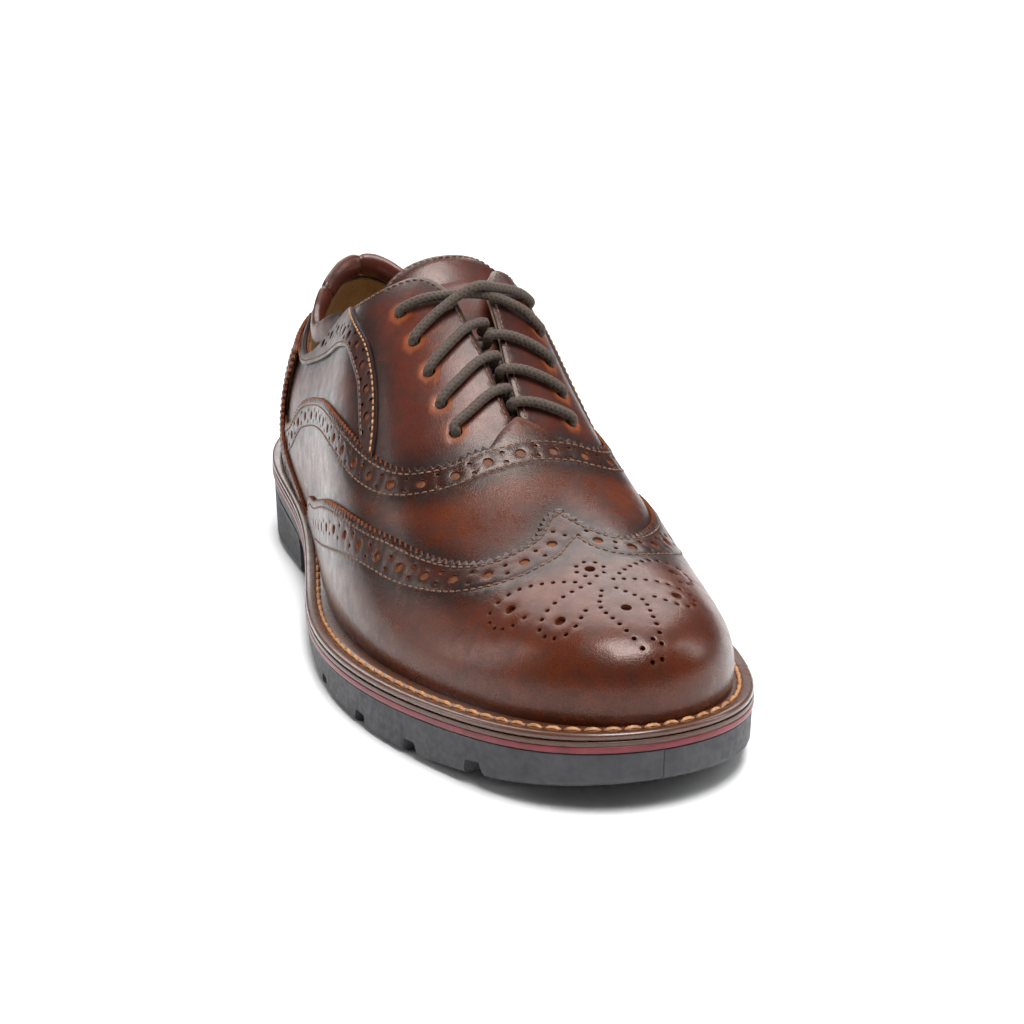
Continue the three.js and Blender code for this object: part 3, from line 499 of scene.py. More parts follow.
def path_frames(path):
    """Tangent and two cross directions along a path, carried on without twisting."""
    tangent = np.gradient(path, axis=0)
    tangent /= np.linalg.norm(tangent, axis=1)[:, None]
    side = np.cross(tangent[0], (0, 0, 1) if abs(tangent[0][2]) < 0.9 else (1, 0, 0))
    sides = []
    for t in tangent:
        side = side - t * np.dot(side, t)
        side = side / np.linalg.norm(side)
        sides.append(side)
    sides = np.array(sides)
    return tangent, sides, np.cross(tangent, sides)


def tube(path, radius, sides):
    """A tube round a path with closed ends. radius is a number or an array of (path points, sides)."""
    _, u, w = path_frames(path)
    angle = 2 * np.pi * np.arange(sides) / sides
    radius = np.broadcast_to(radius, (len(path), sides))
    rings = path[:, None] + radius[..., None] * (np.cos(angle)[None, :, None] * u[:, None]
                                                 + np.sin(angle)[None, :, None] * w[:, None])
    points = np.vstack([rings.reshape(-1, 3), path[:1], path[-1:]])
    faces = grid_faces(len(path), sides, wrap=True)
    first, last = len(points) - 2, len(points) - 1
    base = (len(path) - 1) * sides
    for j in range(sides):
        k = (j + 1) % sides
        faces.append((first, k, j))
        faces.append((last, base + j, base + k))
    return points, faces


# %% [markdown]
# ## The lace
# A round waxed cotton lace, a little over 3 mm thick, runs through five pairs of eyelets. It comes out of each
# lower eyelet, lies over its facing, drops between the facings and passes under the other one; only the
# last strand to the top pair stays outside. Its ends hang inside the shoe, tipped with aglets. The sleeve
# is braided: two sets of yarns wind round it in opposite ways. A tube swept along the route and pushed in
# and out by the two windings gives that, which a bevelled curve can't.

# %% Lace sizes and route
EYELETS = [(93.6, 0.735), (88.9, 0.735), (84.4, 0.74), (80.2, 0.745), (76.2, 0.77)]
MEDIAL_EYELET_SHIFT = -0.02
EYELET_RADIUS = 2.1
LACE_RADIUS = 1.65
AGLET_RADIUS = 1.55
LACE_UNDER = -4.7
LACE_OVER = 1.75
LACE_RIDE = 2.0
DIVE_TOP = 1
DIVE_BOTTOM = -3.6
DIVE_APART = 0.9
TOP_CROSSING = {1: 6, -1: 2.4}
BRAID_STEP = 0.5
BRAID_SIDES = 24
BRAID_PITCH = 7.0
BRAID_YARNS = 8
BRAID_DEPTH = 0.27


def eyelet(row, side):
    """The place of an eyelet, with inner ones given as heights over 1."""
    station, height = EYELETS[row]
    return (station, height) if side > 0 else (station, 2 - (height + MEDIAL_EYELET_SHIFT))


def knot(side, station, height, offset):
    return [station, height if side > 0 else 2 - height, offset]


def lace_pass(row, side):
    """One strand up from an eyelet, over its facing, down the gap and under the other facing."""
    start, goal = EYELETS[row][0], EYELETS[row - 1][0]
    dive = (start + goal) / 2 + side * DIVE_APART
    place = eyelet(row, side)
    return [[*place, LACE_UNDER], [*place, LACE_OVER * 0.55],
            knot(side, 0.9 * start + 0.1 * dive, 0.765, LACE_OVER),
            knot(side, 0.6 * start + 0.4 * dive, 0.835, LACE_RIDE),
            knot(side, 0.15 * start + 0.85 * dive, 0.93, LACE_RIDE),
            [dive, 1, DIVE_TOP], [dive, 1, DIVE_BOTTOM],
            knot(-side, 0.2 * goal + 0.8 * dive, 0.92, LACE_UNDER),
            knot(-side, 0.6 * goal + 0.4 * dive, 0.83, LACE_UNDER)]


def top_pass(side):
    """The strand that stays outside between the two top pairs."""
    start, goal = EYELETS[1][0], EYELETS[0][0]
    middle = (start + goal) / 2
    height = TOP_CROSSING[side]
    shoulder = (LACE_RIDE + height) / 2
    return [[*eyelet(1, side), LACE_UNDER], [*eyelet(1, side), LACE_OVER * 0.55],
            knot(side, 0.85 * start + 0.15 * middle, 0.77, LACE_OVER),
            knot(side, 0.6 * start + 0.4 * middle, 0.83, LACE_RIDE + 0.3),
            knot(side, 0.2 * start + 0.8 * middle, 0.93, shoulder),
            [middle, 1, height],
            knot(-side, 0.2 * goal + 0.8 * middle, 0.93, shoulder),
            knot(-side, 0.6 * goal + 0.4 * middle, 0.83, LACE_RIDE + 0.3),
            knot(-side, 0.85 * goal + 0.15 * middle, 0.77, LACE_OVER),
            [*eyelet(0, -side), LACE_OVER * 0.55], [*eyelet(0, -side), LACE_UNDER]]


def lace_half(side):
    knots = []
    for row in range(4, 1, -1):
        knots += lace_pass(row, side)
        side = -side
    knots += top_pass(side)
    top = EYELETS[0][0]
    return knots + [knot(-side, top + d, v, LACE_UNDER) for d, v in
                    ((2, 0.65), (5, 0.57), (10, 0.48), (16, 0.37), (19, 0.3))]


bar = [knot(s, station, height, LACE_UNDER + 0.2) for s, station, height in
       ((-1, 75.6, 0.86), (-1, 75, 0.93), (1, 74.8, 1), (1, 75, 0.93), (1, 75.6, 0.86))]
lace_knots = np.array(lace_half(-1)[::-1] + bar + lace_half(1))
lace_path = smooth_path(on_last(lace_knots[:, 0], lace_knots[:, 1], lace_knots[:, 2]), BRAID_STEP)
print("lace length", round(walk_length(lace_path)[-1]), "mm between the aglets")

# %% Lace material
lace_paint, shader = new_material("lace_cotton", 0.72, Sheen_Weight=0.1)
fibres = object_noise(lace_paint, 2600, 2)
base = mixed(lace_paint, fibres, hex_colour("5d4c3e"), hex_colour("3a2e25"))
# The per-point darkening value mixes in 1f1a15: painted shade in the grooves between the yarns.
link(lace_paint, mixed(lace_paint, burnish_and_shade_of(lace_paint), base, hex_colour("1f1a15")), shader.inputs["Base Color"])
bump(lace_paint, shader, fibres, 0.08, 0.8)

aglet_paint, shader = new_material("aglet_plastic", 0.22, Coat_Weight=0.5)
noise_colour(aglet_paint, shader, 300, 3, "3a2c22", "4b3a2d", 0.15)

# %% Braided tube
walk = np.arange(len(lace_path)) * BRAID_STEP
around = 2 * np.pi * np.arange(BRAID_SIDES) / BRAID_SIDES
turn = 2 * np.pi * walk[:, None] / BRAID_PITCH
left_yarn = np.cos(BRAID_YARNS / 2 * (around[None] + turn))
right_yarn = np.cos(BRAID_YARNS / 2 * (around[None] - turn))
relief = np.maximum(left_yarn, right_yarn)
points, faces = tube(lace_path, LACE_RADIUS - BRAID_DEPTH / 2 + BRAID_DEPTH * relief / 2, BRAID_SIDES)
# Painted shade: points down in the grooves between the yarns get a darkening value, higher the deeper they lie.
burnish_and_shade = np.concatenate([np.clip(0.55 - relief.ravel(), 0, 1), [0, 0]])
lace = mesh_object("shoelace_braided", points, faces, [lace_paint], burnish_and_shade=burnish_and_shade, smooth=60)
finish_piece(lace, ["shoelace"])

# %% [markdown]
# The aglets are the stiff tips of the lace, a thin sleeve shrunk round its end. Each is a short tube with
# a slightly drawn-in mouth, so a cylinder with two bevelled rims is all it needs.

# %% Aglets
for side, word in ((1, "lateral"), (-1, "medial")):
    tail = np.array([knot(side, EYELETS[0][0] + d, v, LACE_UNDER - 0.1) for d, v in ((19.8, 0.28), (22.5, 0.2))])
    ends = on_last(tail[:, 0], tail[:, 1], tail[:, 2])
    axis = Vector(ends[1] - ends[0])
    bpy.ops.mesh.primitive_cylinder_add(vertices=32, radius=AGLET_RADIUS * MM, depth=axis.length * MM,
                                        location=Vector(ends.mean(axis=0)) * MM,
                                        rotation=axis.to_track_quat("Z", "Y").to_euler())
    aglet = bpy.context.object
    aglet.name = "aglet_tip_" + word
    bpy.ops.object.transform_apply(location=True, rotation=True, scale=True)
    bpy.ops.object.modifier_add(type="BEVEL")
    aglet.modifiers["Bevel"].width = 0.35 * MM
    aglet.modifiers["Bevel"].segments = 3
    bpy.ops.object.modifier_apply(modifier="Bevel")
    bpy.ops.object.shade_smooth_by_angle(angle=math.radians(35))
    aglet.data.materials.append(aglet_paint)
    finish_piece(aglet, ["aglet_" + word])

# %% [markdown]
# ## The sole
# Under the upper lie, from top to bottom, a stitched leather welt, a leather midsole, a thin maroon rubber
# stripe, a dark moulded outsole and a heel block. All follow one plan outline. A sole outline isn't an
# ellipse or any primitive, so each piece is swept round the outline or laid out on straight rungs that run
# across from the outer edge to the inner one, like the rungs of a ladder.

# %% Sole sizes
MIDSOLE = (2.45, 3.95)
STRIPE = (4.0, 5.95)
OUTSOLE_TOP = 6.0
HEEL_BREAST_Y = 70
OUTSOLE_HEEL_THICKNESS = 6
TOE_SPRING = 9.5
ARCH_RISE = 12
NOTCHES_Y = (-35, -66.5, -93, -119)
NOTCH_WIDTH = 6
NOTCH_DEPTH = 9
NOTCH_HEIGHT = 4.6


def inset_edge(edge, phi, inset):
    """Points of a plan outline moved inwards, square to it."""
    tangent = edge(phi + 0.5) - edge(phi - 0.5)
    tangent /= np.linalg.norm(tangent, axis=-1)[..., None]
    inset = np.broadcast_to(inset, np.shape(phi))[..., None]
    return edge(phi) + np.stack([tangent[..., 1], -tangent[..., 0]], -1) * inset


def outline_stations(edge, pitch, inset=0.0):
    """Stations all round an outline, equally spaced in millimetres."""
    phi = np.linspace(-180, 180, 2881)
    points = inset_edge(edge, phi, inset)
    length = walk_length(points)
    count = round(length[-1] / pitch)
    return np.interp(np.arange(count) * length[-1] / count, length, phi)


def swept_edge(section, pitch=1.0, edge=sole_edge, base=welt_top):
    """Sweeps a closed section of (inset, height over the welt top) round the sole. Returns points, faces."""
    phi = outline_stations(edge, pitch)
    rows = []
    for inset, rise in section:
        xy = inset_edge(edge, phi, inset)
        rows.append(np.concatenate([xy, (base(xy[:, 1]) + rise)[:, None]], 1))
    points = np.stack(rows, 1).reshape(-1, 3)
    count, sides = len(phi), len(section)
    faces = []
    for i in range(count):
        n = (i + 1) % count
        for k in range(sides):
            m = (k + 1) % sides
            faces.append((i * sides + k, n * sides + k, n * sides + m, i * sides + m))
    return points, faces


def rung_stations(from_phi, to_phi, step):
    """Stations of rungs from the heel end to the toe end, at even steps along the outline."""
    phi = np.linspace(from_phi, to_phi, 1441)
    points = sole_edge(phi)
    length = walk_length(points)
    return np.interp(np.linspace(0, length[-1], round(length[-1] / step) + 1), length, phi)


print("the outline is", round(len(outline_stations(sole_edge, 1.0))), "mm round")

# %% [markdown]
# ### Welt
# The welt is a strip of leather round the foot of the upper, with a polished rounded edge. A stitch groove
# is cut a few millimetres in from that edge, and thick thread lies in it. Sweeping its section round the
# outline gives the groove and the rounding together.

# %% Welt
GROOVE_INSET = 4.3
WELT_SECTION = [(12, 0), (5.6, 0), (5.2, -0.12), (4.8, -0.42), (4.3, -0.52), (3.8, -0.42), (3.4, -0.12), (3.0, 0),
                (1.5, 0), (0.85, -0.1), (0.35, -0.38), (0.08, -0.8), (0.05, -1.6), (0.3, -2.05), (0.8, -2.4),
                (12, -2.4)]

welt_paint, shader = new_material("welt_leather", 0.3, Coat_Weight=0.5, Coat_Roughness=0.2)
streak = object_noise(welt_paint, 260, 4, stretch=(1, 1, 4))
tone = mixed(welt_paint, object_noise(welt_paint, 45), hex_colour("5d3826"), hex_colour("46281b"))
link(welt_paint, mixed(welt_paint, level_range(welt_paint, streak, 0.45, 0.75, 0, 0.6), tone,
                       hex_colour("33190f")),
     shader.inputs["Base Color"])
link(welt_paint, level_range(welt_paint, streak, 0.3, 0.7, 0.24, 0.42), shader.inputs["Roughness"])
bump(welt_paint, shader, object_noise(welt_paint, 1500, 3), 0.06, 0.5)

points, faces = swept_edge(WELT_SECTION)
welt = mesh_object("welt_strip", points, faces, [welt_paint], smooth=50)
finish_piece(welt, ["welt"])

# %% [markdown]
# ### Midsole and stripe
# Two flat layers follow the welt, each with slightly rounded edges, so light catches the line between
# them. They are solid from edge to edge: a rounded rim is swept round the outline, and flat strips across it
# close the top and the bottom.


# %% Flat layers
def layer(top_drop, bottom_drop, inset, round_by):
    """A layer of the sole between two drops below the welt top, with rounded edges."""
    phi = outline_stations(sole_edge, 1.6)
    profile = [(inset + round_by, -top_drop), (inset + 0.3 * round_by, -top_drop - 0.3 * round_by),
               (inset, -top_drop - round_by), (inset, -bottom_drop + round_by),
               (inset + 0.3 * round_by, -bottom_drop + 0.3 * round_by), (inset + round_by, -bottom_drop)]
    rings = []
    for depth, rise in profile:
        xy = inset_edge(sole_edge, phi, depth)
        rings.append(np.concatenate([xy, (welt_top(xy[:, 1]) + rise)[:, None]], 1))
    count = len(phi)
    points = np.vstack(rings)
    faces = grid_faces(len(profile), count, wrap=True)
    middle = int(np.argmin(np.abs(phi)))
    for ring, flip in ((0, False), (len(profile) - 1, True)):
        for i in range(count // 2):
            around = [(middle - i) % count, (middle - i - 1) % count, (middle + i + 1) % count,
                      (middle + i) % count]
            strip = [ring * count + k for k in dict.fromkeys(around)]
            if len(strip) > 2:
                faces.append(tuple(strip[::-1] if flip else strip))
    return points, faces


midsole_paint, shader = new_material("midsole_leather", 0.42, Coat_Weight=0.25)
noise_colour(midsole_paint, shader, 420, 4, "3a2016", "5b3827", stretch=(1, 1, 5))
bump(midsole_paint, shader, object_noise(midsole_paint, 1800, 2, stretch=(1, 1, 5)), 0.08, 0.5)

stripe_paint, shader = new_material("maroon_rubber", 0.38)
noise_colour(stripe_paint, shader, 220, 3, "64141e", "7a222d", 0.15)
bump(stripe_paint, shader, object_noise(stripe_paint, 2400, 2), 0.04, 0.4)

points, faces = layer(*MIDSOLE, 0.0, 0.2)
finish_piece(mesh_object("midsole_layer", points, faces, [midsole_paint], smooth=50), ["midsole"])
points, faces = layer(*STRIPE, -0.1, 0.3)
finish_piece(mesh_object("maroon_stripe", points, faces, [stripe_paint], smooth=50),
             ["midsole_stripe"])

# %% [markdown]
# ### Outsole
# The outsole is flat under the ball of the foot, springs up to the toe and rises into the arch, where it
# thins to 6 mm over the heel block. Grooves run across the tread, and four notches open through each side of
# the forefoot. All of that is one height for each place of the underside, so the underside is a fine grid
# on rungs whose heights are set by a function, and the side wall is a rounded rim between two edges.


# %% Outsole heights
def tread_height(y):
    toe = TOE_SPRING * (np.clip(-76 - y, 0, None) / 76.5) ** 1.7
    arch = ARCH_RISE * (np.clip(y + 40, 0, None) / 112) ** 1.6
    return toe + arch


def outsole_bottom(y):
    heel = welt_top(y) - OUTSOLE_TOP - OUTSOLE_HEEL_THICKNESS
    low = np.minimum(tread_height(y), heel)
    return low + (heel - low) * smooth_step(y, 36, 48)


def smooth_step(x, low, high):
    t = np.clip((x - low) / (high - low), 0, 1)
    return t * t * (3 - 2 * t)


def notch_rise(x, y, edge_gap):
    """How far the underside is lifted by the side notches; edge_gap is the distance in from the edge."""
    rise = np.zeros_like(x)
    for at in NOTCHES_Y:
        across = 1 - smooth_step(np.abs(y - at), NOTCH_WIDTH / 2 - 0.5, NOTCH_WIDTH / 2 + 0.5)
        inwards = 1 - smooth_step(edge_gap, NOTCH_DEPTH - 1, NOTCH_DEPTH)
        rise = np.maximum(rise, across * inwards * NOTCH_HEIGHT)
    return rise


def tread_groove(x, y, edge_gap):
    """Wavy grooves across the forefoot and the waist, 1.4 mm deep, that stop short of the edge."""
    wave = y + 3 * np.sin(2 * np.pi * x / 30)
    groove = 1 - smooth_step(np.abs(np.mod(wave, 9) - 4.5), 0.7, 1.3)
    zone = smooth_step(edge_gap, 7, 8) * (1 - smooth_step(y, 20, 22)) * smooth_step(y, -140, -138)
    rim_groove = 1 - smooth_step(np.abs(edge_gap - 5.6), 0.5, 1.1)
    rim_zone = (1 - smooth_step(y, 30, 34))
    notch_free = 1 - np.clip(notch_rise(x, y, edge_gap), 0, 1)
    return 1.4 * np.maximum(groove * zone, rim_groove * rim_zone * 0.8) * notch_free


# %% Outsole mesh
RIM = [(2.6, 0.0), (1.7, 0.22), (0.95, 0.9), (0.6, 1.9)]
OUTSOLE_COLUMNS = 110


def rung_grid(phi, insets, heights, columns):
    """Points on rungs between the two edges, evenly spread; heights is a function of x, y and edge gap."""
    outer = inset_edge(sole_edge, phi, insets)
    inner = inset_edge(sole_edge, -phi, insets)
    t = np.linspace(0, 1, columns + 1)[None, :, None]
    xy = outer[:, None] * (1 - t) + inner[:, None] * t
    width = np.linalg.norm(inner - outer, axis=1)[:, None]
    gap = np.minimum(t[..., 0], 1 - t[..., 0]) * width + insets
    return np.concatenate([xy, heights(xy[..., 0], xy[..., 1], gap)[..., None]], -1)


def loft_rungs(phi, lower, wall, upper_height, upper_inset, columns):
    """A closed block: an underside grid, a side wall through (inset, height function) steps, and a flat top."""
    bottom = rung_grid(phi, lower[0], lower[1], columns)
    top = rung_grid(phi, upper_inset, lambda x, y, gap: upper_height(y), columns)
    rows = len(phi)
    points = [bottom.reshape(-1, 3), top.reshape(-1, 3)]
    size = rows * (columns + 1)
    faces = grid_faces(rows, columns + 1)
    faces += [f[::-1] for f in grid_faces(rows, columns + 1, start=size)]
    walls = []
    for sign, column in ((1, 0), (-1, columns)):
        lines = [np.arange(rows) * (columns + 1) + column]
        for inset, height in wall:
            xy = inset_edge(sole_edge, sign * phi, inset)
            lines.append(2 * size + sum(len(p) for p in points[2:]) + np.arange(rows))
            points.append(np.concatenate([xy, height(xy[:, 0], xy[:, 1], np.full(rows, inset))[:, None]], 1))
        lines.append(size + np.arange(rows) * (columns + 1) + column)
        for low, high in zip(lines, lines[1:]):
            for i in range(rows - 1):
                quad = (low[i], low[i + 1], high[i + 1], high[i])
                faces.append(quad if sign > 0 else quad[::-1])
        walls.append(lines[1:-1])
    for row, flip in ((rows - 1, False), (0, True)):
        floor_line = [row * (columns + 1) + j for j in range(columns + 1)]
        roof_line = [size + k for k in floor_line]
        inner_line = [line[row] for line in walls[1]]
        outer_line = [line[row] for line in walls[0][::-1]]
        end = floor_line + inner_line + roof_line[::-1] + outer_line
        faces.append(tuple(end[::-1] if flip else end))
    return np.vstack(points), faces


def underside(x, y, gap):
    return outsole_bottom(y) + np.maximum(notch_rise(x, y, gap), tread_groove(x, y, gap))


def rim_height(lift):
    def height(x, y, gap):
        return outsole_bottom(y) + np.maximum(notch_rise(x, y, gap), lift)
    return height


outsole_paint, shader = new_material("outsole_rubber", 0.62)
noise_colour(outsole_paint, shader, 90, 4, "2c2c2f", "3f3f42")
link(outsole_paint, level_range(outsole_paint, object_noise(outsole_paint, 500), 0.3, 0.7, 0.5, 0.72),
     shader.inputs["Roughness"])
bump(outsole_paint, shader, object_noise(outsole_paint, 2200, 3), 0.09, 0.6)

rung_phi = rung_stations(179.9, 0.08, 0.75)
wall = [(inset, rim_height(lift)) for inset, lift in RIM[1:]]
wall += [(0.35, lambda x, y, gap: welt_top(y) - OUTSOLE_TOP - 0.5)]
points, faces = loft_rungs(rung_phi, (RIM[0][0], underside), wall, lambda y: welt_top(y) - OUTSOLE_TOP, 0.8,
                           OUTSOLE_COLUMNS)
outsole = mesh_object("outsole_moulded", points, faces, [outsole_paint], smooth=40)
finish_piece(outsole, ["outsole"])

# %% [markdown]
# ### Heel block
# The heel block is a rubber lift with fine upright ribs on its side, a plain band along its foot and a
# flat breast towards the arch. It is lofted like the outsole, with the ribs put into the wall itself: they
# are part of the moulding and show in the outline from behind.

# %% Heel block
RIB_PITCH = 1.5
RIB_DEPTH = 0.28


def heel_top(y):
    return welt_top(y) - OUTSOLE_TOP - OUTSOLE_HEEL_THICKNESS - 0.1


def heel_bottom(x, y, gap):
    groove = 1 - smooth_step(np.abs(np.mod(x + 200, 7) - 3.5), 0.6, 1.1)
    inside = smooth_step(gap, 8, 9) * smooth_step(y, 78, 79)
    return groove * inside * 1.2


breast_phi = 180 - math.degrees(math.acos(HEEL_BREAST_Y / SOLE_HALF))
heel_phi = rung_stations(179.8, breast_phi, 0.25)
heel_walk = walk_length(sole_edge(heel_phi))
ribs = RIB_DEPTH * (0.5 + 0.5 * np.cos(2 * np.pi * heel_walk / RIB_PITCH))


def ribbed(inset, share):
    return inset + ribs * share


heel_wall = [(2.2, lambda x, y, gap: np.full_like(y, 0.3)), (1.5, lambda x, y, gap: np.full_like(y, 1.1)),
             (1.2, lambda x, y, gap: np.full_like(y, 2.6)),
             (ribbed(1.2, 1), lambda x, y, gap: np.full_like(y, 3.0)),
             (ribbed(0.75, 1), lambda x, y, gap: heel_top(y) - 1.6), (0.7, lambda x, y, gap: heel_top(y) - 1.2)]
points, faces = loft_rungs(heel_phi, (3.0, heel_bottom), heel_wall, heel_top, 1.0, 60)
heel = mesh_object("heel_lift", points, faces, [outsole_paint], smooth=35)
finish_piece(heel, ["heel_block"])

# %% [markdown]
# ## Cutting leather
# A shoemaker cuts each panel from flat leather, punches it, skives its edge and lasts it. The helpers below
# do the same. Every ruling of the last is rolled out straight from the ridge, which gives a flat pattern. A
# panel's outline, holes and inner points are triangulated on that pattern and then laid back on the last at
# the panel's own layer. A lattice or a shrinkwrapped grid would smear the punched holes and the saw-toothed
# edges; cut on the pattern, they stay crisp, and the leather gets its true thickness and a raw cut edge.


# %% The flat pattern
def ruling_frame(phi):
    """Where a ruling starts on the ridge and which way it runs, in plan."""
    foot = feather_edge(phi)
    cy = crest_station(foot[..., 1])
    ridge = np.stack([crest_x(cy), cy], -1)
    out = foot - ridge
    return ridge, out / np.linalg.norm(out, axis=-1)[..., None]


def girth(phi, v, steps=12):
    """The length along the ruling from the ridge down to a height."""
    t = np.linspace(0, 1, steps + 1).reshape((-1,) + (1,) * np.ndim(phi))
    levels = v[None] + (1 - v)[None] * t
    points = ruling_point(np.broadcast_to(phi, levels.shape), levels)
    return np.linalg.norm(np.diff(points, axis=0), axis=-1).sum(0)


def pattern_of(marks):
    phi, v = signed(marks[:, 0], marks[:, 1])
    ridge, out = ruling_frame(phi)
    return ridge + out * girth(phi, v)[:, None]


TABLE_PHI = np.arange(-180, 180.25, 0.5)
TABLE_V = np.linspace(1, 0, 41)
TABLE_RIDGE, TABLE_OUT = ruling_frame(TABLE_PHI)
TABLE_GIRTH = np.stack([girth(TABLE_PHI, np.full(len(TABLE_PHI), v)) for v in TABLE_V], 1)


def marks_at(flat):
    """The marks of places on the pattern: which ruling passes through them, and how far down it they lie."""
    marks = []
    for part in np.array_split(flat, max(1, len(flat) // 3000)):
        gap = part[:, None] - TABLE_RIDGE[None]
        cross = TABLE_OUT[None, :, 0] * gap[..., 1] - TABLE_OUT[None, :, 1] * gap[..., 0]
        down = (TABLE_OUT[None] * gap).sum(-1)
        good = (cross[:, :-1] * cross[:, 1:] <= 0) & (down[:, :-1] > -0.2) & (down[:, :-1] < 140)
        k = good.argmax(1)
        row = np.arange(len(part))
        f = cross[row, k] / (cross[row, k] - cross[row, k + 1] + 1e-12)
        lengths = TABLE_GIRTH[k] * (1 - f)[:, None] + TABLE_GIRTH[k + 1] * f[:, None]
        reach = down[row, k] * (1 - f) + down[row, k + 1] * f
        v = np.array([np.interp(r, l, TABLE_V) for r, l in zip(reach, lengths)])
        marks.append(np.stack([TABLE_PHI[k] + 0.5 * f, v], -1))
    return np.vstack(marks)


def inside(polygon, points):
    """Which points lie inside a closed polygon."""
    a, b = polygon, np.roll(polygon, -1, axis=0)
    result = []
    for part in np.array_split(points, max(1, len(points) // 4000)):
        x, y = part[:, 0:1], part[:, 1:2]
        spans = (a[:, 1] > y) != (b[:, 1] > y)
        at = a[:, 0] + (y - a[:, 1]) * (b[:, 0] - a[:, 0]) / (b[:, 1] - a[:, 1] + 1e-15)
        result.append((spans & (x < at)).sum(1) % 2 == 1)
    return np.concatenate(result)


# %% Edges and holes
TOOTH_PITCH = 2.5
TOOTH_DEPTH = 1.5
EDGE_DIP = 0.28
HOLE_DIP = 0.1
SEAM_DIP = 0.2
INNER_SPACING = 2.1


def mirrored(marks):
    """The same curve on the inner side, walked the other way."""
    return [(station, 2 - height) for station, height in marks[::-1]]


def edge_marks(marks, style, spacing):
    """Points of one edge: plain, or gimped, which is cut to saw teeth."""
    curve = smooth_marks(marks)
    if style != "gimped":
        return walked(curve, spacing)
    curve = walked(curve, TOOTH_PITCH / 2)
    side = curve_frame(curve)[2]
    swing = np.where(np.arange(len(curve)) % 2 == 0, -0.5, 0.5) * TOOTH_DEPTH
    swing[0] = swing[-1] = 0
    return step_on_last(curve, side * swing[:, None])


def hole_ring(mark, radius, count):
    """A ring of marks round one mark, true to size on the leather."""
    _, tangent, side, _ = curve_frame(np.array([mark, (mark[0] + 0.01, mark[1])]))
    angle = 2 * np.pi * np.arange(count) / count
    vectors = radius * (np.cos(angle)[:, None] * tangent[0] + np.sin(angle)[:, None] * side[0])
    return step_on_last(np.repeat(np.array([mark], float), count, 0), vectors)


def near_curve(points, curves, reach):
    """1 on the curves, falling smoothly to 0 at a reach in millimetres."""
    if not curves:
        return np.zeros(len(points))
    anchors = np.vstack([last_point(*walked(np.asarray(c, float), 1.5).T) for c in curves])
    tree = kdtree.KDTree(len(anchors))
    for i, anchor in enumerate(anchors):
        tree.insert(anchor, i)
    tree.balance()
    distance = np.array([tree.find(p)[2] for p in points])
    return 1 - smooth_step(distance, 0, reach)


def no_closer(points, others, distance):
    """Keeps the points that are at least a distance from all the others, on the pattern."""
    tree = kdtree.KDTree(len(others))
    for i, other in enumerate(others):
        tree.insert((other[0], other[1], 0), i)
    tree.balance()
    return np.array([tree.find((p[0], p[1], 0))[2] > distance for p in points], bool)


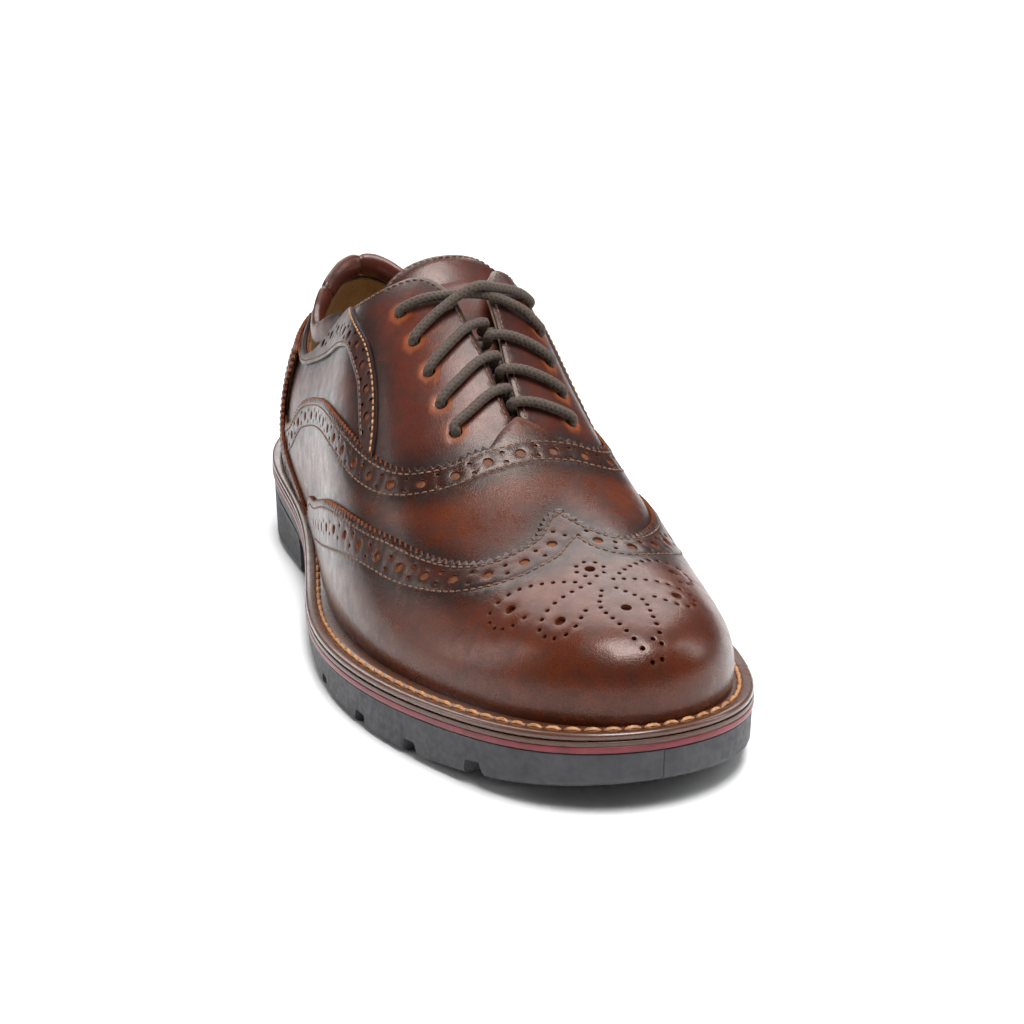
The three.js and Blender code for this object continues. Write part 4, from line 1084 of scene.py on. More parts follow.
# %% A lasted panel
def panel(name, edges, top, thickness, materials, holes=(), dark=(), dark_reach=9, spacing=INNER_SPACING,
          dip=EDGE_DIP, sewn=()):
    """A piece of leather on the last. edges is a closed loop of (marks, style); top is its layer's height.
    sewn are seam curves, which the thread pulls down into the leather."""
    loop = [edge_marks(marks, style, min(spacing, 1.6))[:-1] for marks, style in edges]
    outline = np.vstack(loop)
    flat = pattern_of(outline)
    turned = np.roll(flat, -1, axis=0)
    if (flat[:, 0] * turned[:, 1] - turned[:, 0] * flat[:, 1]).sum() < 0:
        outline, flat = outline[::-1], flat[::-1]
    eyes_flat = pattern_of(np.array([mark for mark, radius in holes]).reshape(-1, 2)) if len(holes) else flat[:0]
    reach = np.array([radius for mark, radius in holes])

    def off_holes(places, gap=0.3):
        if not len(eyes_flat) or not len(places):
            return np.full(len(places), True)
        return (np.linalg.norm(places[:, None] - eyes_flat[None], axis=2) > reach + gap).all(1)

    groups = [(outline, -1, dip)]
    loops = [len(outline)]
    guards = [np.vstack([beside(smooth_marks(marks), d)[1:-1] for marks, style in edges
                         for d in ((0.65, -0.65) if style == "plain" else (1.25,
                                                                           -1.25) if style == "gimped" else ())]
                        or [outline[:0]])]
    for number, (mark, radius) in enumerate(holes):
        count = 20 if radius > 1.9 else 14 if radius > 1 else 9
        groups.append((hole_ring(mark, radius, count), number, HOLE_DIP))
        loops.append(count)
        guards.append(hole_ring(mark, radius + 0.45, count))
    punched_flat = pattern_of(np.vstack([g[0] for g in groups]))
    for seam in sewn:
        line = walked(np.asarray(seam, float), 1.5)
        line_flat = pattern_of(line)
        line = line[inside(flat, line_flat) & no_closer(line_flat, punched_flat, 0.55) & off_holes(line_flat)]
        groups.append((line, -3, SEAM_DIP))
        guards += [beside(np.asarray(seam, float), d) for d in (0.8, -0.8)]
    fixed = np.vstack([g[0] for g in groups])
    fixed_flat = pattern_of(fixed)
    guard = np.vstack(guards)
    guard_flat = pattern_of(guard)
    keep = inside(flat, guard_flat) & no_closer(guard_flat, fixed_flat, 0.36) & off_holes(guard_flat)
    guard, guard_flat = guard[keep], guard_flat[keep]
    low, high = flat.min(0), flat.max(0)
    rows = np.arange(low[1], high[1], spacing * 0.87)
    grid = np.vstack([np.stack([np.arange(low[0] + (i % 2) * spacing / 2, high[0], spacing),
                                np.full(len(np.arange(low[0] + (i % 2) * spacing / 2, high[0], spacing)), y)], -1)
                      for i, y in enumerate(rows)])
    grid = grid[inside(flat, grid)]
    grid = grid[off_holes(grid)]
    grid = grid[no_closer(grid, np.vstack([fixed_flat, guard_flat]), spacing * 0.55)]
    marks = np.vstack([fixed, guard, marks_at(grid) if len(grid) else grid])
    places = np.vstack([fixed_flat, guard_flat, grid])
    hole_of = np.concatenate([np.full(len(g[0]), g[1]) for g in groups] + [np.full(len(places) - len(fixed), -2)])
    sink = np.concatenate([np.full(len(g[0]), g[2]) for g in groups] + [np.zeros(len(places) - len(fixed))])
    seams, start = [], 0
    for count in loops:
        seams += [(start + i, start + (i + 1) % count) for i in range(count)]
        start += count
    found = geometry.delaunay_2d_cdt([Vector(p) for p in places], seams, [], 0, 1e-5)
    origin = [o[0] if o else -1 for o in found[3]]
    triangles = np.array([[origin[i] for i in face] for face in found[2] if len(face) == 3])
    triangles = triangles[(triangles >= 0).all(1)]
    ring = hole_of[triangles]
    filled = (ring[:, 0] >= 0) & (ring[:, 0] == ring[:, 1]) & (ring[:, 1] == ring[:, 2])
    centre = places[triangles].mean(1)
    triangles = triangles[~filled & off_holes(centre, -0.25) & inside(flat, centre)]
    corner = places[triangles]
    area = np.cross(corner[:, 1] - corner[:, 0], corner[:, 2] - corner[:, 0])
    triangles[area < 0] = triangles[area < 0][:, ::-1]
    made = shell(name, marks, triangles, sink, top, thickness, materials, dark, dark_reach)
    eyes = [last_point(*mark) for mark, radius in holes if radius > 1.9]
    if eyes:
        base = last_point(marks[:, 0], marks[:, 1])
        distance = np.min([np.linalg.norm(base - eye, axis=1) for eye in eyes], axis=0)
        rub = np.tile(1 - smooth_step(distance, 2.0, 4.6), 2)
        made.data.attributes.new("rub", "FLOAT", "POINT").data.foreach_set("value", rub.astype(np.float32))
    return made


def backing(name, curves, level, half=2.3, thick=0.3):
    """Thin strips of undyed leather that lie under a punched band and show through its holes."""
    points, faces, start = [], [], 0
    for curve in curves:
        walk = walked(np.asarray(curve, float), 1.5)
        left, right = beside(walk, half), beside(walk, -half)
        ring = np.stack([on_last(m[:, 0], m[:, 1], level - drop) for m, drop in
                         ((left, 0), (right, 0), (right, thick), (left, thick))], 1)
        points.append(ring.reshape(-1, 3))
        end = start + 4 * (len(ring) - 1)
        faces += grid_faces(len(ring), 4, wrap=True, start=start)
        faces += [tuple(start + k for k in (3, 2, 1, 0)), tuple(end + k for k in range(4))]
        start += 4 * len(ring)
    return finish_piece(mesh_object(name, np.vstack(points), faces, [undyed], smooth=60))


def shell(name, marks, triangles, sink, top, thickness, materials, dark, dark_reach):
    """Gives a triangulated panel its two faces and the cut edge between them."""
    count = len(marks)
    level = top(marks) if callable(top) else np.full(count, float(top))
    outside = on_last(marks[:, 0], marks[:, 1], level - sink)
    within = on_last(marks[:, 0], marks[:, 1], level - thickness)
    foot = (np.minimum(marks[:, 1], 2 - marks[:, 1]) < 0.004)
    for points in (outside, within):
        points[foot, 2] -= 1.3
    directed = np.vstack([triangles[:, [0, 1]], triangles[:, [1, 2]], triangles[:, [2, 0]]])
    known = set(map(tuple, directed.tolist()))
    rim = [(a, b) for a, b in directed.tolist() if (b, a) not in known]
    faces = triangles.tolist() + (triangles[:, ::-1] + count).tolist() + [(b, a, a + count, b + count)
                                                                          for a, b in rim]
    kind = [0] * len(triangles) + [2] * len(triangles) + [1] * len(rim)
    burnish_and_shade = np.tile(near_curve(last_point(marks[:, 0], marks[:, 1]), dark, dark_reach), 2)
    return mesh_object(name, np.vstack([outside, within]), faces, materials, kind, burnish_and_shade, smooth=38)


# %% [markdown]
# ## Leathers
# The upper is calf, dyed and then burnished by hand: a warm reddish brown in the open that turns nearly
# black along the seams. It shines softly under a wax coat, and a fine grain breaks the shine up. Where it
# is cut, the undyed core shows as a tan line. The lining is a napped brown split that hardly shines at all.

# %% Leather materials
def burnished_leather(name, light, middle, dark, roughness):
    made, shader = new_material(name, roughness, Coat_Weight=0.15, Coat_Roughness=0.18, IOR=1.44,
                                Specular_Tint=(1, 0.8, 0.72, 1))
    cloud = object_noise(made, 28, 4, 0.4)
    mottle = object_noise(made, 190, 4, 0.2)
    open_leather = mixed(made, level_range(made, cloud, 0.35, 0.65, 0, 1), light, middle)
    open_leather = mixed(made, level_range(made, mottle, 0.45, 0.72, 0, 0.45), open_leather, dark)
    # Per-point darkening mixes in the dark colour: burnish along panel edges and seams, painted shade on the
    # roll.
    edge = arithmetic(made, "MULTIPLY", burnish_and_shade_of(made), level_range(made, mottle, 0.25, 0.6, 0.65, 1.0))
    burnished_and_shaded = mixed(made, edge, open_leather, dark)
    rub = add_node(made, "ShaderNodeAttribute", attribute_name="rub").outputs["Fac"]
    link(made, mixed(made, arithmetic(made, "MULTIPLY", rub, 0.75), burnished_and_shaded, hex_colour("9a5128")),
         shader.inputs["Base Color"])
    place = add_node(made, "ShaderNodeTexCoord")
    cells = add_node(made, "ShaderNodeTexVoronoi", {"Scale": 1100.0}, feature="DISTANCE_TO_EDGE")
    warp = add_node(made, "ShaderNodeTexVoronoi", {"Scale": 420.0}, feature="SMOOTH_F1")
    link(made, place.outputs["Object"], cells.inputs["Vector"])
    link(made, place.outputs["Object"], warp.inputs["Vector"])
    pores = object_noise(made, 3200, 2)
    grain = arithmetic(made, "ADD", level_range(made, cells.outputs["Distance"], 0, 0.25, 0, 0.5),
                       level_range(made, warp.outputs["Distance"], 0, 0.8, 0, 0.6))
    grain = arithmetic(made, "ADD", grain, level_range(made, pores, 0.3, 0.7, 0, 0.3))
    creases = object_noise(made, 170, 3, 0.6, (1, 0.45, 0.8))
    grain = arithmetic(made, "ADD", grain, level_range(made, creases, 0.3, 0.7, 0, 0.5))
    bump(made, shader, grain, 0.08, 0.5)
    link(made, level_range(made, arithmetic(made, "ADD", mottle, pores), 0.75, 1.3, roughness - 0.07,
                           roughness + 0.12), shader.inputs["Roughness"])
    return made


cap_leather = burnished_leather("burnished_cap", hex_colour("57240d"), hex_colour("3f180b"), hex_colour("170806"),
                                0.3)
quarter_leather = burnished_leather("burnished_quarter", hex_colour("582518"), hex_colour("3c1810"),
                                    hex_colour("1a0a08"), 0.34)
band_leather = burnished_leather("burnished_band", hex_colour("43201a"), hex_colour("311713"),
                                 hex_colour("1c0c0a"),
                                 0.35)

raw_edge, shader = new_material("raw_cut_edge", 0.85)
noise_colour(raw_edge, shader, 900, 3, "522612", "8a4a24")
bump(raw_edge, shader, object_noise(raw_edge, 2600, 2), 0.1, 0.6)

flesh_side, shader = new_material("flesh_side", 0.95)
noise_colour(flesh_side, shader, 700, 4, "54341f", "6f4a2c")

lining_suede, shader = new_material("lining_suede", 0.95, Sheen_Weight=0.4, Sheen_Roughness=0.5)
nap = object_noise(lining_suede, 1700, 3)
link(lining_suede, mixed(lining_suede, object_noise(lining_suede, 60, 3),
                         ramp(lining_suede, nap, [(0.3, hex_colour("8c6a3e")), (0.7, hex_colour("c39a5c"))]),
                         hex_colour("9d7847")), shader.inputs["Base Color"])
bump(lining_suede, shader, nap, 0.12, 0.7)

undyed, shader = new_material("undyed_leather", 0.7)
noise_colour(undyed, shader, 900, 3, "4e2812", "7a4520")
HIDE = [cap_leather, raw_edge, flesh_side]
QUARTER_HIDE = [quarter_leather, raw_edge, flesh_side]
print("leathers ready")

# %% [markdown]
# ## Drawn edges of the upper
# A full brogue has a winged toe cap that runs back along both sides, a vamp under it, two quarters that
# carry the eyelets, a curved band along the collar and a counter cover round the heel. Their edges are the
# CAD's own. Inner ones mirror the outer ones, except for the wing, whose peak leans a little.

# %% Edge marks
FACING_EDGE = [(71.5, 0.985), (75.5, 0.981), (80.1, 0.969), (83.7, 0.961), (87.3, 0.945), (92.2, 0.938)]
FRONT_TOPLINE = [(93.0, 0.928), (95.5, 0.896), (97.1, 0.861), (98.1, 0.819), (99.6, 0.741), (102.7, 0.656),
                 (107, 0.605), (112, 0.573)]
REAR_TOPLINE = [(113, 0.566), (118, 0.51), (122, 0.45), (126, 0.4), (131.6, 0.37), (140, 0.4), (150, 0.48),
                (165, 0.57), (179.95, 0.59)]
BAND_FRONT = [(82, 0.448), (83.2, 0.474), (84.7, 0.5), (87.3, 0.537), (89.9, 0.564), (94, 0.587), (98.1, 0.584),
              (104, 0.578), (110, 0.578)]
BAND_BACK = [(85.8, 0.415), (87.8, 0.44), (92, 0.49), (95.5, 0.502), (99.1, 0.506), (103.8, 0.479),
             (116.1, 0.402),
             (123.9, 0.363), (132.6, 0.332), (150, 0.36), (165, 0.4), (179.95, 0.42)]
QUARTER_SEAM = [(82, 0.34), (84.5, 0.42), (88, 0.49), (92, 0.53), (98, 0.545), (105, 0.535), (112, 0.57)]
QUARTER_LAP = [(71.5, 0.985), (69.5, 0.9), (69, 0.72), (71, 0.55), (76, 0.41), (82, 0.34)]
BACK_LAP = [(82.1, 0.335), (95, 0.27), (110, 0.19), (124, 0.13), (133, 0.05), (138, 0.012), (144, 0), (162, 0),
            (179.95, 0)]
BACK_SEAM = [(82.1, 0.335), (84.6, 0.415), (88.1, 0.484), (92.1, 0.524), (98, 0.541), (105, 0.531), (113, 0.563)]
VAMP_TAB = [(72.6, 0.876), (73.9, 0.919), (74.9, 0.965), (75.5, 1)]
VAMP_EDGE = [(72.6, 0.876), (72.7, 0.82), (72.9, 0.718), (73.9, 0.645), (75.5, 0.571), (78, 0.502), (82.2, 0.436),
             (86.8, 0.398), (92.9, 0.367), (104.3, 0.324), (116.1, 0.282), (123.4, 0.243), (127, 0.201),
             (131, 0.15),
             (138, 0.11), (145, 0.1)]
WING_EDGE = [(60.6, 1), (59.2, 0.945), (55.3, 0.869), (54.3, 0.757), (55.9, 0.653), (59.5, 0.579), (64.1, 0.514),
             (69.3, 0.44), (74.9, 0.347), (81.6, 0.266), (91.4, 0.189), (104, 0.105), (111, 0.069), (114.5, 0)]
WING_EDGE_MEDIAL = [(60.6, 1), (58.2, 0.968), (55.3, 0.923), (53.3, 0.857), (54.8, 0.761), (60, 0.637),
                    (67.7, 0.48),
                    (74.9, 0.36), (81.6, 0.266), (91.4, 0.189), (104, 0.105), (111, 0.069), (114.5, 0)]
COUNTER_FRONT = [(117, 0), (125, 0.03), (133.2, 0.069), (139.8, 0.124), (140.6, 0.216), (139.5, 0.29),
                 (140.3, 0.351)]
COUNTER_TOP = [(140.3, 0.351), (150, 0.385), (165, 0.425), (180, 0.445)]


def foot_line(start, end):
    return [(station, 0) for station in np.linspace(start, end, 2 + int(abs(end - start) / 4))]


def turn_side(marks, side):
    """Marks as drawn for the outer side, or the same curve on the inner side."""
    return marks if side > 0 else [(station, 2 - height) for station, height in marks]


def both_sides(marks):
    """A curve that is drawn on the outer side and its mirror on the inner side, as smooth curves."""
    return [smooth_marks(marks), smooth_marks([(station, 2 - height) for station, height in marks])]


# %% [markdown]
# ## Broguing
# Brogue bands are punched before the panels are sewn: a large hole about every 10 mm, with a pair of small
# holes between each two. They run along the middle of the band between two rows of stitches. The holes are
# real here. Each is a ring of points cut out of the leather, so its tan wall shows as the view turns.

# %% Punching
LARGE_HOLE = 1.6
SMALL_HOLE = 0.7
BROGUE_PITCH = 10.6
PAIR_APART = 1.9


def punch_band(curve):
    """Holes along a curve: a large one, then a pair of small ones across the band, and so on."""
    length = walk_length(last_point(curve[:, 0], curve[:, 1]))[-1]
    large = 2 * max(1, round(length / BROGUE_PITCH / 2))
    walk = walked(curve, length / (2 * large))
    side = curve_frame(walk)[2]
    holes = []
    for i in range(1, len(walk) - 1):
        if i % 2 == 0:
            holes.append((tuple(walk[i]), LARGE_HOLE))
        else:
            for s in (1, -1):
                place = step_on_last(walk[i:i + 1], s * PAIR_APART * side[i:i + 1])[0]
                holes.append((tuple(place), SMALL_HOLE))
    return holes


def spread_apart(holes, gap=0.55):
    """Drops any hole that would break into one before it."""
    kept, centres = [], []
    for mark, radius in holes:
        centre = last_point(*mark)
        if all(np.linalg.norm(centre - c) > radius + r + gap for c, r in centres):
            kept.append((mark, radius))
            centres.append((centre, radius))
    return kept

# %% [markdown]
# ### Medallion
# The toe carries a punched medallion: a teardrop, two scrolls on each side that curl round a larger hole,
# and a rosette at the top. It is drawn flat, as on the shoemaker's card, and pricked through onto the toe.

# %% Medallion
MEDALLION_TOP = (3.83, -102.1)
MEDALLION_TURN = math.radians(4)
TEARDROP = [(2.3, 12.1), (6.4, 19.8), (5.3, 27.9), (3.4, 36), (0, 43)]
UPPER_SCROLL = [(6.9, 4.7), (13.5, 0.3), (21.6, -3.6), (28.6, -3.3), (30.3, 1), (27.8, 7.1), (23.8, 8.8)]
LOWER_SCROLL = [(3.7, 7.3), (10.8, 9.1), (18, 11.8), (22.7, 16.4), (22.4, 20), (19.8, 23.4), (16.1, 23.7),
                (10.6, 19.3)]
MEDALLION_EYES = [(0, 0), (0, 22.8), (25, 2), (-25, 2), (17.7, 18.6), (-17.7, 18.6)]
PRICK_PITCH = 3.1


def marks_over(places):
    """The marks of the last that lie straight below places of the plan."""
    marks = marks_at(places)
    for _ in range(6):
        miss = places - last_point(marks[:, 0], marks[:, 1])[:, :2]
        normal = last_normal(marks[:, 0], marks[:, 1])
        rise = -(normal[:, 0] * miss[:, 0] + normal[:, 1] * miss[:, 1]) / normal[:, 2]
        marks = step_on_last(marks, np.concatenate([miss, rise[:, None]], 1))
    return marks


def on_toe(card):
    """Places on the card, (sideways, towards the toe), as marks on the last."""
    card = np.array(card, float)
    c, s = math.cos(MEDALLION_TURN), math.sin(MEDALLION_TURN)
    x = MEDALLION_TOP[0] + card[:, 0] * c + card[:, 1] * s
    y = MEDALLION_TOP[1] + card[:, 0] * s - card[:, 1] * c
    return marks_over(np.stack([x, y], -1))


def medallion():
    holes = [(tuple(m), LARGE_HOLE) for m in on_toe(MEDALLION_EYES)]
    ring = [(4.2 * math.cos(a), 4.2 * math.sin(a)) for a in np.radians(np.arange(0, 360, 45))]
    cards = [ring]
    for drawn in (TEARDROP, UPPER_SCROLL, LOWER_SCROLL):
        knots = np.array([(x, y, 0) for x, y in drawn], float)
        pricks = smooth_path(knots, PRICK_PITCH)[:, :2]
        cards += [pricks, pricks * (-1, 1)]
    for card in cards:
        holes += [(tuple(m), SMALL_HOLE) for m in on_toe(card)]
    return holes


# %% [markdown]
# ### Winged toe cap
# The cap is the outermost piece. Its front edge is the foot line at the welt; its rear edge is gimped and
# rises to a peak in the middle of the vamp. The band behind that edge is broader on top than on the wings.

# %% Toe cap
WING_ROW = [(52.6, 1), (50.4, 0.955), (47.4, 0.89), (46.6, 0.815), (46.8, 0.72), (49.7, 0.595), (54.8, 0.486),
            (61.5, 0.402), (69.3, 0.309), (83.2, 0.151), (104.3, 0.03)]
WING_ROW_MEDIAL = [(52.6, 1), (48.5, 0.968), (45.6, 0.9), (46.1, 0.811), (49.2, 0.699), (61, 0.413),
                   (69.3, 0.309), (83.2, 0.151), (104.3, 0.03)]
FIRST_ROW = 1.9
OUTER_LAYER = 3.0
OUTER_THICKNESS = 1.35
BACKING_DROP = 0.75


def halfway(first, second, share=0.5):
    """The curve that runs between two others."""
    t = np.linspace(0, 1, 160)
    both = []
    for curve in (first, second):
        points = last_point(curve[:, 0], curve[:, 1])
        length = walk_length(points)
        both.append(np.stack([np.interp(t * length[-1], length, curve[:, k]) for k in range(2)], -1))
    return both[0] * (1 - share) + both[1] * share


wing_edges = [smooth_marks(WING_EDGE), smooth_marks(turn_side(WING_EDGE_MEDIAL, -1))]
wing_rows = [smooth_marks(WING_ROW), smooth_marks(turn_side(WING_ROW_MEDIAL, -1))]
WING_HOLES_AT = 0.56
wing_lines = [halfway(edge, row, WING_HOLES_AT) for edge, row in zip(wing_edges, wing_rows)]
cap_holes = punch_band(wing_lines[0]) + punch_band(wing_lines[1]) + medallion()
cap = panel("wing_toe_cap_leather",
            [(foot_line(-114.5, 114.5), "foot"), (WING_EDGE[::-1], "gimped"),
             (turn_side(WING_EDGE_MEDIAL, -1), "gimped")],
            OUTER_LAYER, OUTER_THICKNESS, HIDE, spread_apart(cap_holes), wing_edges + wing_rows, 11,
            sewn=wing_rows + [beside(edge, side * FIRST_ROW) for edge, side in zip(wing_edges, (1, -1))])
finish_piece(cap, ["wing_toe_cap"])
backing("cap_backing_strip", wing_lines, OUTER_LAYER - BACKING_DROP)

# %% [markdown]
# ### Vamp
# The vamp runs under the cap and along both sides to the counter. Its rear edge is gimped too, except for
# the plain tab on top, where the facings and the tongue are sewn on.

# %% Vamp
VAMP_LAYER = 1.5
VAMP_BAND_WIDTH = 9.0
VAMP_HOLES_IN = 5.6
vamp_edges = both_sides(VAMP_EDGE)
VAMP_MIDDLE = [(72.65, 0.94), (72.7, 1)]
vamp_base = smooth_marks(VAMP_EDGE[::-1] + VAMP_MIDDLE + mirrored(VAMP_EDGE[::-1] + VAMP_MIDDLE)[1:], 10)
vamp_rows = [beside(vamp_base, -FIRST_ROW), beside(vamp_base, -VAMP_BAND_WIDTH)]
vamp_line = beside(vamp_base, -VAMP_HOLES_IN)
vamp = panel("vamp_leather",
             [(foot_line(-145, 145), "foot"), ([(145, 0), (145, 0.1)], "plain"), (VAMP_EDGE[::-1], "gimped"),
              (VAMP_TAB + mirrored(VAMP_TAB)[1:], "plain"), (turn_side(VAMP_EDGE, -1), "gimped"),
              ([(145, 1.9), (145, 2)], "plain")],
             VAMP_LAYER, 1.2, HIDE, spread_apart(punch_band(vamp_line)), vamp_edges + vamp_rows + wing_edges,
             10, sewn=vamp_rows)
finish_piece(vamp, ["vamp"])
backing("vamp_backing_strip", [vamp_line], VAMP_LAYER - BACKING_DROP)

# %% [markdown]
# ### Quarters
# The front quarters carry five punched eyelets each, without metal, and the back quarters close the heel.
# Both are one layer below the vamp and the bands.

# %% Quarters
for side, word in ((1, "lateral"), (-1, "medial")):
    eyelets = [(eyelet(row, side), EYELET_RADIUS) for row in range(5)]
    facing = turn_side(FACING_EDGE, side)
    topline = turn_side(FRONT_TOPLINE, side)
    corner = turn_side([FACING_EDGE[-1], (92.75, 0.936), FRONT_TOPLINE[0]], side)
    seam = turn_side(QUARTER_SEAM, side)
    lap = turn_side(QUARTER_LAP, side)
    dark = [smooth_marks(c) for c in (facing, topline, seam, turn_side(VAMP_EDGE, side),
                                      turn_side(BAND_FRONT, side))]
    front = panel("quarter_front_leather_" + word,
                  [(facing, "plain"), (corner, "plain"), (topline, "plain"),
                   ([topline[-1], seam[-1]], "plain"), (seam[::-1], "plain"), (lap[::-1], "plain")],
                  0, 1.15, QUARTER_HIDE, eyelets, dark, 11)
    finish_piece(front, ["quarter_front_" + word])
    top = turn_side(REAR_TOPLINE, side)
    bottom = turn_side(BACK_LAP, side)
    behind = turn_side(BACK_SEAM, side)
    dark = [smooth_marks(c) for c in (turn_side(BAND_BACK, side), turn_side(COUNTER_FRONT, side),
                                      turn_side(VAMP_EDGE, side))]
    back = panel("quarter_back_leather_" + word,
                 [(bottom, "foot"), ([bottom[-1], top[-1]], "plain"), (top[::-1], "plain"),
                  (behind[::-1], "plain")],
                 0, 1.15, QUARTER_HIDE, (), dark, 9, 2.6)
    finish_piece(back, ["quarter_back_" + word])

# %% [markdown]
# ### Collar bands
# A dark band follows the topline from the side of the instep to the heel, with a curled front end. It is
# cut plain, punched along its middle and sewn down along both edges.

# %% Collar bands
BAND_TOP = BAND_FRONT + REAR_TOPLINE
for side, word in ((1, "lateral"), (-1, "medial")):
    upper_edge = turn_side(BAND_TOP, side)
    lower_edge = turn_side(BAND_BACK, side)
    tip = turn_side([BAND_BACK[0], (83.2, 0.408), (81.6, 0.428), BAND_FRONT[0]], side)
    middle = halfway(smooth_marks(upper_edge), smooth_marks(lower_edge))
    punched = [h for h in punch_band(middle) if abs(h[0][0]) < 122]
    band = panel("collar_band_leather_" + word,
                 [(lower_edge[::-1], "plain"), (tip, "plain"), (upper_edge, "plain"),
                  ([upper_edge[-1], lower_edge[-1]], "plain")],
                 1.1, 0.95, [band_leather, band_leather, flesh_side], spread_apart(punched),
                 [smooth_marks(upper_edge), smooth_marks(lower_edge)], 5, 1.9)
    finish_piece(band, ["collar_band_" + word])
    backing("band_backing_strip_" + word, [middle[(np.abs(middle[:, 0]) < 121)]], 0.4, half=2.0)

# %% [markdown]
# ### Heel counter cover
# One piece wraps the heel, wider at its foot, with a gimped front edge and top edge and one brogue band.

# %% Counter cover
COVER_BACK = [(360 - station, height) for station, height in COUNTER_TOP[::-1]]
cover_top = COUNTER_TOP + COVER_BACK[1:]
cover_front_medial = [(360 - station, height) for station, height in COUNTER_FRONT]
cover_edges = [smooth_marks(COUNTER_FRONT), smooth_marks(cover_top), smooth_marks(cover_front_medial)]
COVER_SIDES = (1, 1, -1)
COVER_BAND_WIDTH = 7.6
COVER_HOLES_IN = 4.8
cover_rows = [beside(edge, side * COVER_BAND_WIDTH) for edge, side in zip(cover_edges, COVER_SIDES)]
cover_lines = [beside(edge, side * COVER_HOLES_IN) for edge, side in zip(cover_edges, COVER_SIDES)]
cover_holes = [hole for k in (0, 2, 1) for hole in punch_band(cover_lines[k])]
cover = panel("heel_counter_leather",
              [(foot_line(117, 243), "foot"), (cover_front_medial, "gimped"), (cover_top[::-1], "gimped"),
               (COUNTER_FRONT[::-1], "gimped")],
              OUTER_LAYER, OUTER_THICKNESS, QUARTER_HIDE, spread_apart(cover_holes), cover_edges + cover_rows, 9,
              sewn=cover_rows)
finish_piece(cover, ["heel_counter_cover"])
backing("counter_backing_strip", cover_lines, OUTER_LAYER - BACKING_DROP)

# %% [markdown]
# ### Lining
# The inside is lined with suede. The forepart lining is hidden, the quarter linings show at the collar and
# behind the lace, and the heel lining runs up under the collar roll. They lie right against the leather.

# %% Linings
LINING_TOP = -1.2
LINING_THICKNESS = 1.1
LINING_SEAM = [(82, 0), (76, 0.35), (71, 0.6), (69.5, 0.85), (70, 1)]
LINED = [lining_suede, lining_suede, lining_suede]
fore = panel("vamp_lining_suede", [(foot_line(-82, 82), "edge"),
                                   (LINING_SEAM + mirrored(LINING_SEAM)[1:], "edge")],
             LINING_TOP, LINING_THICKNESS, LINED, spacing=4, dip=0)
finish_piece(fore, ["vamp_lining"])
for side, word in ((1, "lateral"), (-1, "medial")):
    lower = [(station * side, 0) for station, _ in foot_line(82.6, 139.8)]
    front = turn_side([(82.6, 0), (76.6, 0.35), (71.6, 0.6), (70.1, 0.85), (70.9, 0.985)], side)
    facing = turn_side([(70.9, 0.985)] + FACING_EDGE[1:], side)
    corner = turn_side([FACING_EDGE[-1], (92.75, 0.936), FRONT_TOPLINE[0]], side)
    topline = turn_side(FRONT_TOPLINE + [(118, 0.5), (122, 0.44), (126, 0.39), (131.6, 0.36), (139.8, 0.385)],
                        side)
    eyelets = [(eyelet(row, side), EYELET_RADIUS) for row in range(5)]
    piece = panel("quarter_lining_suede_" + word,
                  [(lower[::-1], "edge"), (front, "edge"), (facing, "edge"), (corner, "edge"), (topline, "edge"),
                   ([topline[-1], (139.8, 0 if side > 0 else 2)], "edge")],
                  LINING_TOP, LINING_THICKNESS, LINED, eyelets, spacing=3, dip=0)
    finish_piece(piece, ["quarter_lining_" + word])
HEEL_LINING_TOP = [(140, 0.387), (150, 0.46), (165, 0.55), (180, 0.575), (195, 0.55), (210, 0.46), (220, 0.387)]
heel_piece = panel("heel_lining_suede", [(foot_line(140, 220), "edge"), ([(220, 0), (220, 0.387)], "edge"),
                                         (HEEL_LINING_TOP[::-1], "edge"), ([(140, 0.387), (140, 0)], "edge")],
                   LINING_TOP, LINING_THICKNESS, LINED, spacing=3, dip=0)
finish_piece(heel_piece, ["heel_lining"])

# %% [markdown]
# ### Tongue
# The tongue is sewn to the vamp tab and lies under the lace. Its tip rises to the topline. It is a soft
# leather with its own suede backing, and turns on the seam when the lace is loosened.

# %% Tongue
TONGUE_DROP = 6.9
TONGUE_TIP_DROP = 1.8
TONGUE_SIDE = [(74.3, 0.68), (82, 0.64), (90, 0.63), (98.5, 0.66)]
TONGUE_TIP = [(98.5, 0.66), (102.2, 0.72), (102.9, 0.82), (102.6, 0.91), (102.4, 1)]


def tongue_level(drop):
    def level(marks):
        t = np.clip((np.abs(marks[:, 0]) - 97.5) / 4, 0, 1)
        return -(TONGUE_DROP + (TONGUE_TIP_DROP - TONGUE_DROP) * t) - drop
    return level


tongue_loop = [(TONGUE_SIDE, "plain"), (TONGUE_TIP + mirrored(TONGUE_TIP)[1:], "plain"),
               (mirrored(TONGUE_SIDE), "plain"), ([(74.3, 1.32), (74.3, 1), (74.3, 0.68)], "plain")]
tongue = panel("tongue_leather", tongue_loop, tongue_level(0), 1.1, QUARTER_HIDE,
               dark=[smooth_marks(TONGUE_TIP + mirrored(TONGUE_TIP)[1:])], dark_reach=6, dip=0.2)
finish_piece(tongue, ["tongue"], "tongue")
tongue_lining = panel("tongue_lining_suede", tongue_loop, tongue_level(1.12), 0.9, LINED, spacing=3.5, dip=0)
finish_piece(tongue_lining, ["tongue_lining"], "tongue")
